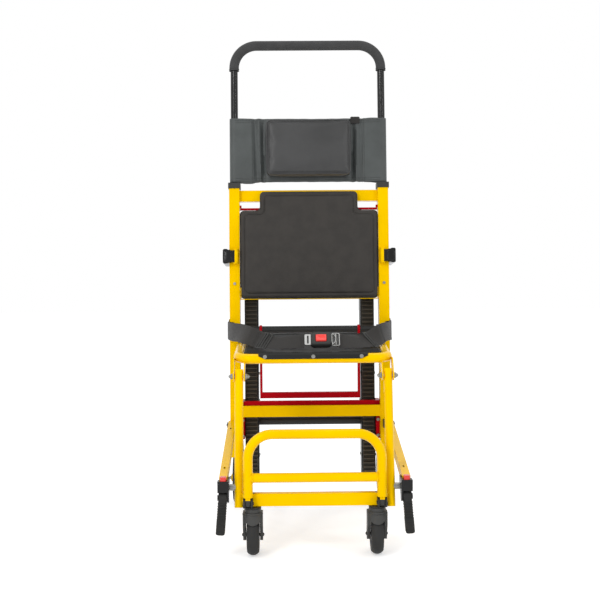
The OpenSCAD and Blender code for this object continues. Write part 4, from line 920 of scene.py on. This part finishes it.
class CHAIR_OT_buckle(bpy.types.Operator):
    """Makes the buckle with its red button, the latch plate and the chromed adjusters"""
    bl_idname = "chair.buckle"
    bl_label = "Buckle"

    def execute(self, context):
        tip = math.radians(BELT_TIP)
        front = 0.009
        face = (move(0.023, BELT_Y - MIDDLE, seat_top(BELT_Y) + BELT_GAP + front * math.sin(tip))
                @ turn(-BELT_TIP, "X") @ move(0, 0, 0.022) @ turn(90, "X"))
        press = face @ move(0, -0.001, 0)
        levels = ((0.0035, -front), (0.001, 0.0012 - front), (0, 0.0045 - front), (0, front - 0.005),
                  (0.0012, front - 0.0018), (0.0042, front))
        rings = layered(face, 0.027, 0.022, 0.0085, levels, follow=0.5)
        rings.append(at(press, round_rect(0.0156, 0.0126, 0.004), front))
        rings += [at(press, round_rect(0.0144, 0.0114, 0.003), front - depth) for depth in (0.0011, 0.0085)]
        put("buckle_case", loft(rings), "plastic", "seat", 40, "buckle_housing")
        levels = ((0, 0.004), (0, 0.0102), (0.0004, 0.0108), (0.0018, 0.0112), (0.005, 0.0106),
                  (0.009, 0.0102))
        rings = layered(press, 0.014, 0.011, 0.0028, levels, follow=0.2)
        put("buckle_press", loft(rings), "red plastic", "buckle_button", 40, "buckle_button")
        outer, hole = round_rect(0.0085, 0.0178, 0.003, 4), round_rect(0.0022, 0.0135, 0.0015, 4)
        plate = face @ move(-0.0345, 0, 0)
        low, high = -0.0011, 0.0011
        course = ((hole, low), (outer, low), (outer, high), (hole, high), (hole, low))
        rings = [at(plate, outline, z) for outline, z in course]
        put("latch_plate", loft(rings, ends=False), "chrome", "seat", 40, "latch_tongue")
        m = face @ move(0.0385, 0, 0)
        bow = [(-0.0085 + (x if x > 0 else 0.25 * x), y / 0.0085 * 0.016) for x, y in circle(0.0085, 40)]
        parts = [swept(at(m, round_rect(0.0095, 0.0205, 0.004)), 0.0019, 10),
                 swept(at(m, [(0.0005, -0.019), (0.0005, 0.019)], 0.0012), 0.0017, 10, closed=False),
                 swept(at(m, bow, 0.003), 0.0017, 10)]
        put("belt_adjuster_frames", join(parts), "chrome", "seat", 60, "belt_adjusters")
        return {"FINISHED"}


# Hardware

DRESS = {
    "yellow": "upright_left upright_right upper_crossbar lower_crossbar rear_axle_brackets"
              " lift_handle_brackets seat_tube leg_brackets leg_left leg_right front_crossbar footrest_loop"
              " arm_left arm_right",
    "red": "release_bail lock_link track_carrier",
    "black paint": "arm_hinge_brackets seat_pivot_bar seat_lugs footrest_hinges track_chassis",
    "gloss tube": "handle_tube",
    "plastic": "upright_collars back_panel battery_box drive_unit",
    "caster plastic": "caster_fork_left caster_fork_right",
    "gloss plastic": "lift_handle_left lift_handle_right grip_hinge_left grip_hinge_right",
    "foam": "handle_grip",
    "grip rubber": "carry_grip_left carry_grip_right",
    "red plastic": "grip_button_left grip_button_right",
    "steel": "frame_screws seat_screws leg_pins track_pivot_shaft drive_sprockets lower_rollers",
    "tyre": "caster_wheel_left caster_wheel_right rear_wheel_left rear_wheel_right",
    "track": "track_belts",
}


class CHAIR_OT_dress(bpy.types.Operator):
    """Gives every piece of the frame the finish of its real material"""
    bl_idname = "chair.dress"
    bl_label = "Frame finishes"

    def execute(self, context):
        for finish, names in DRESS.items():
            for name in names.split():
                mesh = frame["nodes"][name].data
                mesh.materials.clear()
                mesh.materials.append(FINISHES[finish])
        return {"FINISHED"}


def dome_nut(r=0.0052, h=0.0072):
    """A domed nut on its washer, standing on Z 0."""
    washer = [(0, 0), (r * 1.25, 0), (r * 1.3, 0.0003), (r * 1.3, 0.0009), (r * 1.22, 0.0012), (0, 0.0012)]
    hexagon = [(r * 0.96, 0.0012), (r, 0.0016), (r, h * 0.5), (r * 0.95, h * 0.56)]
    dome = [(r * 0.8, h * 0.5), (r * 0.78, h * 0.66), (r * 0.64, h * 0.86), (r * 0.36, h * 0.97), (0, h)]
    return join([turned(washer, 20), turned(hexagon, 6), turned(dome, 16)])


def socket_screw(r, h):
    """A button-head screw with a hexagon socket, standing on Z 0."""
    steps = 18
    socket = []
    for x, y in circle(r * 0.42 * math.cos(math.pi / 6), steps):
        bend = math.cos((math.atan2(y, x) % (2 * math.pi) + math.pi / 6) % (math.pi / 3) - math.pi / 6)
        socket.append((x / bend, y / bend))
    outside = [(r, 0), (r, h * 0.25), (r * 0.93, h * 0.6), (r * 0.72, h * 0.9), (r * 0.52, h)]
    rings = [(circle(q, steps), z) for q, z in outside] + [(socket, h * 0.97), (socket, h * 0.3)]
    return loft([at(Matrix.Identity(4), outline, z) for outline, z in rings])


def on(matrix, x, y, z, out, along=(0, 0, 1)):
    """A place on a frame with its direction out and along."""
    axis = matrix.to_3x3()
    return matrix @ Vector((x, y, z)), (axis @ Vector(out)).normalized(), (axis @ Vector(along)).normalized()


def both(spots):
    """The spots and their mirror images across the chair's middle plane."""
    return spots + [tuple(Vector((-v[0], v[1], v[2])) for v in spot) for spot in spots]


class CHAIR_OT_fixings(bpy.types.Operator):
    """Adds the nuts, bolts, screws and the footrest's hinge sleeves"""
    bl_idname = "chair.fixings"
    bl_label = "Nuts, bolts and screws"

    def execute(self, context):
        x, y, z = CASTER
        outer, inner = (1, 0, 0), (-1, 0, 0)
        nuts = {
            "legs": [on(PLACED, 0.206, *LEG_TOP, outer), on(PLACED, 0.167, *LEG_TOP, inner),
                     on(PLACED, 0.2147, 0.01064, 0.172, outer, (0, 1, 0))],
            "back_frame": [on(PLACED, 0.2312, *SEAT_PIVOT, outer), on(PLACED, 0.2005, *TRACK_PIVOT, outer),
                           on(PLACED, 0.2354, *REAR_WHEEL[1:], outer)],
        }
        for body, spots in nuts.items():
            repeated("dome_nuts_" + body, dome_nut(), both(spots), "steel", body)
        forks = both([on(PLACED, x + 0.0237, y, z, outer), on(PLACED, x - 0.0237, y, z, inner)])
        for side, name in SIDES:
            fork = [spot for spot in forks if spot[0].x * side > 0]
            repeated("caster_nuts_" + name, dome_nut(0.0046, 0.0042), fork, "black paint",
                     "caster_fork_" + name)
            arm = [on(PLACED, side * 0.2352, *ARM_PIVOT, (side, 0, 0))]
            repeated("arm_nut_" + name, dome_nut(0.0050, 0.0065), arm, "steel", "arm_" + name)
        carrier = [on(PLACED, 0.2012, 0.475, z, outer) for z in (0.222, 0.29)]
        repeated("carrier_bolts", socket_screw(0.0052, 0.0036), both(carrier), "steel", "back_frame")
        low, high = (-0.1, -0.04, 0.06, 0.14, 0.22), (0.38, 0.46)
        faces = ((0.1906, outer, low + high), (0.1504, inner, low))
        plates = [on(ON_TRACK, x, y, z, out) for x, out, heights in faces for z in heights
                  for y in (-0.017, 0.017)]
        repeated("track_plate_screws", socket_screw(0.0042, 0.0026), both(plates), "steel", "track")
        ends = [ON_FOOTREST @ move(side * FOOTREST_X, 0, 0.00225) @ turn(90, "Y") for side, _ in SIDES]
        sleeves = [rounded_block((0.0217, 0.0172, 0.0128), 0.0084, m, 0.0006, 6) for m in ends]
        put("footrest_sleeves", join(sleeves), "plastic", "footrest", 40)
        return {"FINISHED"}


def weld(matrix, hw, hh, r=0.004):
    """Overlapping weld ripples round a rectangular tube's end."""
    path = []
    for x, y in round_rect(hw, hh, r, 4):
        cx, cy = max(-hw + r, min(hw - r, x)), max(-hh + r, min(hh - r, y))
        out = Vector((x - cx, y - cy, 0)).normalized()
        path.append(on(matrix, x, y, 0, out + Vector((0, 0, 1)))[:2])
    places = []
    for (a, out), (b, _) in zip(path, path[1:] + path[:1]):
        steps = max(1, round((b - a).length / 0.0022))
        places += [(a + (b - a) * i / steps, out, (b - a).normalized()) for i in range(steps)]
    return places


RIPPLE = turned([(0, -0.0008), (0.0024, -0.0006), (0.0027, 0.0), (0.0022, 0.0008), (0.0012, 0.0013),
                 (0, 0.0014)], 9)


class CHAIR_OT_welds(bpy.types.Operator):
    """Adds painted weld beads where the frame's tubes meet"""
    bl_idname = "chair.welds"
    bl_label = "Weld beads"

    def execute(self, context):
        back, legs, foot = [], [], []
        along = (0, 1, 0)
        for side, _ in SIDES:
            inner = (-side, 0, 0)
            for w, y in ((0.914, 0.0043), (0.289, -0.010)):
                m = facing((side * (UPRIGHT_X - UPRIGHT_W / 2), y, w), inner, along)
                back += weld(ON_BACK @ m, 0.010, 0.016)
            legs += weld(PLACED @ facing((side * 0.1765, 0.007, 0.1425), inner, along), 0.009, 0.0155)
            m = ON_FOOTREST @ facing((side * (FOOTREST_X - 0.0118), 0, 0.062), inner, along)
            foot += [on(m, x, y, 0, (x, y, 0.012), (-y, x, 0)) for x, y in circle(0.012, 34)]
        for name, places, body in (("back_frame_welds", back, "back_frame"), ("leg_welds", legs, "legs"),
                                   ("footrest_welds", foot, "footrest")):
            repeated(name, RIPPLE, places, "yellow", body, angle=60)
        return {"FINISHED"}


# Each wheel's centre; the half sections of its tyre and its rim as (radius, place along the axle), each with
# the steps round it; the tyre's seat on the rim; its spokes' number, block, rounding, edge and place
WHEELS = {
    "caster": (CASTER, ((0.0372, -0.0143), (0.0378, -0.0153), (0.0430, -0.0147), (0.0467, -0.0111),
                        (0.0490, -0.0065), (0.0498, -0.0032), (0.0500, 0.0)), 72,
               ((0, -0.0145), (0.0085, -0.0145), (0.0105, -0.0135), (0.0115, -0.0085), (0.0300, -0.0078),
                (0.0335, -0.0125), (0.0355, -0.0145), (0.0371, -0.0145)), 56,
               (0.0366, 0.0128), (6, (0.0035, 0.024, 0.0262), 0.0012, 0.0006, 0.0215)),
    "rear": (REAR_WHEEL, ((0.0560, -0.0123), (0.0568, -0.0135), (0.0650, -0.0131), (0.0708, -0.0105),
                          (0.0736, -0.0063), (0.0742, -0.0048), (0.0734, -0.0044), (0.0734, -0.0036),
                          (0.0747, -0.0032), (0.0750, 0.0)), 96,
             ((0, -0.0128), (0.0125, -0.0128), (0.0145, -0.0118), (0.0155, -0.0055), (0.0460, -0.0050),
              (0.0500, -0.0105), (0.0530, -0.0124), (0.0559, -0.0124)), 72,
             (0.0550, 0.0110), (5, (0.005, 0.034, 0.0212), 0.0016, 0.0008, 0.031)),
}


def mirrored(half, skip=0):
    """A half section and its mirror image, back to its start."""
    return [*half, *((r, -h) for r, h in reversed(half[:len(half) - skip]))]


class CHAIR_OT_wheels(bpy.types.Operator):
    """Makes the tyres, rims and hubs of the casters and the rear wheels"""
    bl_idname = "chair.wheels"
    bl_label = "Wheels"

    def execute(self, context):
        for side, name in SIDES:
            for kind, ((x, y, z), tread, around, disc, turns, (r, h), spoked) in WHEELS.items():
                body = "%s_wheel_%s" % (kind, name)
                m = PLACED @ facing((side * x, y, z), (side, 0, 0), (0, 0, 1))
                tyre = turned([*mirrored(tread, 1), (r, h), (r, -h), tread[0]], around, m, ends=False)
                put("%s_tyre_%s" % (kind, name), tyre, "tyre", body, 40, body)
                count, size, rounding, edge, reach = spoked
                rim = [turned(mirrored(disc), turns, m)]
                spokes = [m @ turn(360 / count * k, "Z") @ move(0, reach, 0) for k in range(count)]
                rim += [rounded_block(size, rounding, spoke, edge, 2) for spoke in spokes]
                put("%s_rim_%s" % (kind, name), join(rim), "rim", body, 30)
            cap = turned([(0, 0.0126), (0.0088, 0.0126), (0.0095, 0.0132), (0.0085, 0.0148), (0.004, 0.0156),
                          (0, 0.0157)], 32, m)
            put("rear_hub_cap_" + name, cap, "plastic", body, 40)
        return {"FINISHED"}


class CHAIR_OT_casters(bpy.types.Operator):
    """Adds the race rings and the seams of the caster hoods"""
    bl_idname = "chair.casters"
    bl_label = "Caster hoods"

    def execute(self, context):
        for side, name in SIDES:
            m = PLACED @ move(side * CASTER[0], 0.007, 0)
            race = turned([(0.0165, 0.1210), (0.0205, 0.1212), (0.0212, 0.1220), (0.0212, 0.1248),
                           (0.0204, 0.1256), (0.0165, 0.1258)], 48, m)
            put("caster_race_" + name, race, "black paint", "caster_fork_" + name, 40)
            lip = swept(at(m, circle(0.0247, 56), 0.1065), 0.0011)
            put("caster_lip_" + name, lip, "caster plastic", "caster_fork_" + name, 60)
        return {"FINISHED"}


def lift_grip(side):
    """A lift handle's rounded grip with its waist and grooves, and the block at its front."""
    m = ON_BACK @ move(side * 0.2415, 0.020, LIFT_Z)
    rings = []
    length, half_w, half_h = 0.058, 0.0074, 0.0208
    for k in range(33):
        v = 2 * k / 32 - 1
        end = max(0.0, 1 - abs(v) ** 6) ** 0.5
        waist = 1 - 0.07 * math.cos(v * math.pi * 0.9) ** 2
        groove = 0.0006 if k % 4 == 2 and 4 < k < 28 else 0.0
        hw, hh = max(half_w * end - groove, 0.0005), max(half_h * end * waist - groove, 0.0008)
        rings.append([m @ Vector((x, v * length, z)) for x, z in round_rect(hw, hh, min(hw, hh) * 0.92)])
    block = rounded_block((0.0275, 0.0385, 0.0172), 0.0095, ON_BACK @ move(side * 0.2357, -0.0301, LIFT_Z)
                          @ turn(90, "X"), 0.0045, 8)
    return join([loft(rings), block])


class CHAIR_OT_handles(bpy.types.Operator):
    """Makes the lift handles' grips and sleeves, the foam's end rings and the carry grips' ribs"""
    bl_idname = "chair.handles"
    bl_label = "Handles and grips"

    def execute(self, context):
        for side, name in SIDES:
            lift = "lift_handle_" + name
            put("lift_grip_" + name, lift_grip(side), "gloss plastic", lift, 50)
            sleeve = turned([(0, -0.0172), (0.0073, -0.0172), (0.0076, -0.0166), (0.0076, 0.0166),
                             (0.0073, 0.0172), (0, 0.0172)], 32, ON_BACK @ move(side * 0.212, -0.031, LIFT_Z))
            put("lift_sleeve_" + name, sleeve, "yellow", lift, 40)
            m = ON_BACK @ move(side * HANDLE_X, 0, 0)
            rings = [swept(at(m, circle(0.0141, 48), z), 0.0009, 6) for z in (1.2840, 1.2885)]
            put("foam_end_rings_" + name, join(rings), "foam", "push_handle", 60)
            tilt = PLACED @ move(side * 0.2257, -0.013, 0.152) @ turn(-side * 4.5, "Y")
            ribs = [swept(at(tilt, round_rect(0.0102, 0.0132, 0.006, 5), -0.014 - 0.0066 * k), 0.0011, 6)
                    for k in range(9)]
            end = ((0.0012, -0.0905), (-0.0004, -0.0892), (-0.0010, -0.0875), (-0.0010, -0.0825),
                   (0.0004, -0.0812))
            cap = layered(tilt, 0.0100, 0.0130, 0.006, end)
            put("carry_grip_ribs_" + name, join([*ribs, loft(cap)]), "grip rubber", "carry_grip_" + name, 60)
        return {"FINISHED"}


class CHAIR_OT_battery(bpy.types.Operator):
    """Adds the battery case's lid line, vents and latches"""
    bl_idname = "chair.battery"
    bl_label = "Battery case"

    def execute(self, context):
        low, high, back, half_w = 0.775, 0.856, 0.054, 0.110
        mid, half_h = (low + high) / 2, (high - low) / 2
        face = ON_BACK @ move(0, 0, mid) @ turn(90, "X")
        parts = [swept(at(face, round_rect(half_w + 0.0003, half_h + 0.0003, 0.0083, 5), y - back), 0.0008, 6)
                 for y in (0.016, 0.019)]
        lid = ((0.004, -back), (0.0045, -back - 0.0018), (0.006, -back - 0.0026), (0.012, -back - 0.0028))
        parts.append(loft(layered(face, half_w, half_h, 0.007, lid, 5)))
        vents = [face @ move(0, 0.008 * k - 0.024, -back - 0.0035) for k in range(7)]
        parts += [rounded_block((0.084, 0.0032, 0.0022), 0.0015, vent, 0.0006, 3) for vent in vents]
        put("battery_lid", join(parts), "plastic", "back_frame", 40)
        latches = []
        for side, _ in SIDES:
            x = side * 0.082
            m = ON_BACK @ move(x, back - 0.010, high + 0.0012)
            latches.append(rounded_block((0.022, 0.020, 0.003), 0.002, m, 0.0008, 3))
            m = ON_BACK @ move(x, back + 0.0042, high - 0.012) @ turn(90, "X")
            latches.append(rounded_block((0.018, 0.022, 0.004), 0.0025, m, 0.001, 3))
        put("battery_latches", join(latches), "gloss plastic", "back_frame", 40)
        corners = [(x, back + 0.0026, mid + z) for x in (-0.1, 0.1) for z in (-0.03, 0.03)]
        spots = [on(ON_BACK, *corner, (0, 1, 0)) for corner in corners]
        repeated("battery_screws", socket_screw(0.0032, 0.0018), spots, "steel", "back_frame")
        return {"FINISHED"}


# Each light's place, width, height and power, and the point that all of them face
LIGHTS = {"key": ((-1.7, -2.6, 2.7), 0.55, 0.55, 21), "fill": ((2.2, -2.3, 1.5), 0.1, 1.6, 12),
          "strip": ((-1.3, -2.6, 1.2), 0.3, 1.6, 15), "top": ((0.2, 0.5, 3.2), 2, 2, 16)}
LIT_POINT = Vector((0, 0, 0.65))
WHITE = (1, 1, 1, 1)


def seen_rays(tree):
    """The light path and the output that is 1 for rays from the camera and from glossy surfaces."""
    path = add(tree, "ShaderNodeLightPath")
    return path, maths(tree, "MAXIMUM", (path, "Is Camera Ray"), (path, "Is Glossy Ray"))


class CHAIR_OT_stage(bpy.types.Operator):
    """Sets the floor, the light and the camera"""
    bl_idname = "chair.stage"
    bl_label = "Floor, light and camera"

    def execute(self, context):
        scene = context.scene
        corners = [(-6, -6, 0), (6, -6, 0), (6, 9, 0), (-6, 9, 0)]
        floor = link("floor", mesh_of("floor", corners, [(0, 1, 2, 3)]))
        white, tree, main = surface("white studio floor", 0.9, 0.0,
                                    {"Base Color": (0.9, 0.9, 0.9, 1), "Emission Color": WHITE})
        wire(tree, maths(tree, "MULTIPLY", seen_rays(tree)[1], 0.4), main, "Emission Strength")
        floor.data.materials.append(white)
        world = bpy.data.worlds.new("white studio")
        world.use_nodes = True
        tree = world.node_tree
        tree.nodes.clear()
        path, seen = seen_rays(tree)
        lit = add(tree, "ShaderNodeBackground", {"Color": (0.97, 0.98, 1.0, 1), "Strength": 0.78})
        plain = add(tree, "ShaderNodeBackground", {"Color": WHITE, "Strength": 1.0})
        shown = maths(tree, "MAXIMUM", seen, (path, "Is Transmission Ray"))
        mixed = add(tree, "ShaderNodeMixShader",
                    {"Fac": shown, 1: (lit, "Background"), 2: (plain, "Background")})
        add(tree, "ShaderNodeOutputWorld", {"Surface": (mixed, "Shader")})
        scene.world = world
        for name, (where, wide, tall, power) in LIGHTS.items():
            data = bpy.data.lights.new(name + "_light", "AREA")
            data.shape, data.size, data.size_y, data.energy = "RECTANGLE", wide, tall, power
            light = link(name + "_light", data)
            light.location = where
            light.rotation_euler = (LIT_POINT - Vector(where)).to_track_quat("-Z", "Y").to_euler()
        data = bpy.data.cameras.new("photo_camera")
        data.sensor_width, data.lens = 36, scene.chair_sizes.lens
        camera = link("photo_camera", data)
        turned_by, pitch, roll = -0.0116, 0.0543, -0.0075
        camera.matrix_world = (move(-0.0622, -2.7920, 0.7694) @ Matrix.Rotation(turned_by, 4, "Z")
                               @ Matrix.Rotation(math.pi / 2 - pitch, 4, "X") @ Matrix.Rotation(roll, 4, "Z"))
        scene.camera = camera
        scene.view_settings.view_transform = "Standard"
        return {"FINISHED"}


# Settings, panel and start

class ChairColours(bpy.types.PropertyGroup):
    """Colours of the chair's finishes as sRGB hex"""
    frame: StringProperty(name="Frame", description="Powder coat of the tubes", default="#F8C600")
    links: StringProperty(name="Links", description="Powder coat of the lock parts", default="#B8101C")
    paint: StringProperty(name="Paint", description="Satin paint of the black steel", default="#262625")
    plastic: StringProperty(name="Plastic", description="Grained plastic parts", default="#2E2E2C")
    caster: StringProperty(name="Casters", description="Caster hoods", default="#3C3C3A")
    button: StringProperty(name="Buttons", description="Red buttons", default="#E8342A")
    foam: StringProperty(name="Foam", description="Push handle's foam", default="#404040")
    pad: StringProperty(name="Pad", description="Back pad's skin", default="#373431")
    seat: StringProperty(name="Seat", description="Seat vinyl", default="#242524")
    head: StringProperty(name="Head cushion", description="Head cushion vinyl", default="#3E3E3E")
    sling: StringProperty(name="Sling", description="Head sling cloth", default="#474B4A")
    belt: StringProperty(name="Belt", description="Lap belt webbing", default="#312F2D")
    track: StringProperty(name="Tracks", description="Track rubber", default="#4A453C")


class ChairSizes(bpy.types.PropertyGroup):
    """Sizes of the dressed details"""
    pad_raise: FloatProperty(name="Pad raise", description="Height of the pad's raised face", default=0.0035,
                             min=0.001, max=0.006, unit="LENGTH", subtype="DISTANCE")
    lens: FloatProperty(name="Lens", description="Focal length of the photo's camera in millimetres",
                        default=61.7, min=35.0, max=90.0)


STEPS = ("dress", "back_pad", "head_cushion", "head_sling", "seat_cover", "belt", "buckle", "fixings",
         "welds", "wheels", "casters", "handles", "battery", "stage")


class CHAIR_PT_panel(bpy.types.Panel):
    """Lists the chair's parts and settings"""
    bl_idname = "CHAIR_PT_panel"
    bl_label = "Stair Climbing Chair"
    bl_space_type = "VIEW_3D"
    bl_region_type = "UI"
    bl_category = "Chair"

    def draw(self, context):
        for step in STEPS:
            self.layout.operator("chair." + step)
        for group in (context.scene.chair_colours, context.scene.chair_sizes):
            for key in group.__annotations__:
                self.layout.prop(group, key)


CLASSES = (ChairColours, ChairSizes, CHAIR_OT_dress, CHAIR_OT_back_pad, CHAIR_OT_head_cushion,
           CHAIR_OT_head_sling, CHAIR_OT_seat_cover, CHAIR_OT_belt, CHAIR_OT_buckle, CHAIR_OT_fixings,
           CHAIR_OT_welds, CHAIR_OT_wheels, CHAIR_OT_casters, CHAIR_OT_handles, CHAIR_OT_battery,
           CHAIR_OT_stage, CHAIR_PT_panel)


def register():
    for cls in CLASSES:
        bpy.utils.register_class(cls)
    bpy.types.Scene.chair_colours = PointerProperty(type=ChairColours)
    bpy.types.Scene.chair_sizes = PointerProperty(type=ChairSizes)


def unregister():
    del bpy.types.Scene.chair_sizes
    del bpy.types.Scene.chair_colours
    for cls in reversed(CLASSES):
        bpy.utils.unregister_class(cls)


def main():
    register()
    make_finishes()
    for step in STEPS:
        getattr(bpy.ops.chair, step)()
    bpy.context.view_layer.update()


if __name__ == "__main__":
    main()
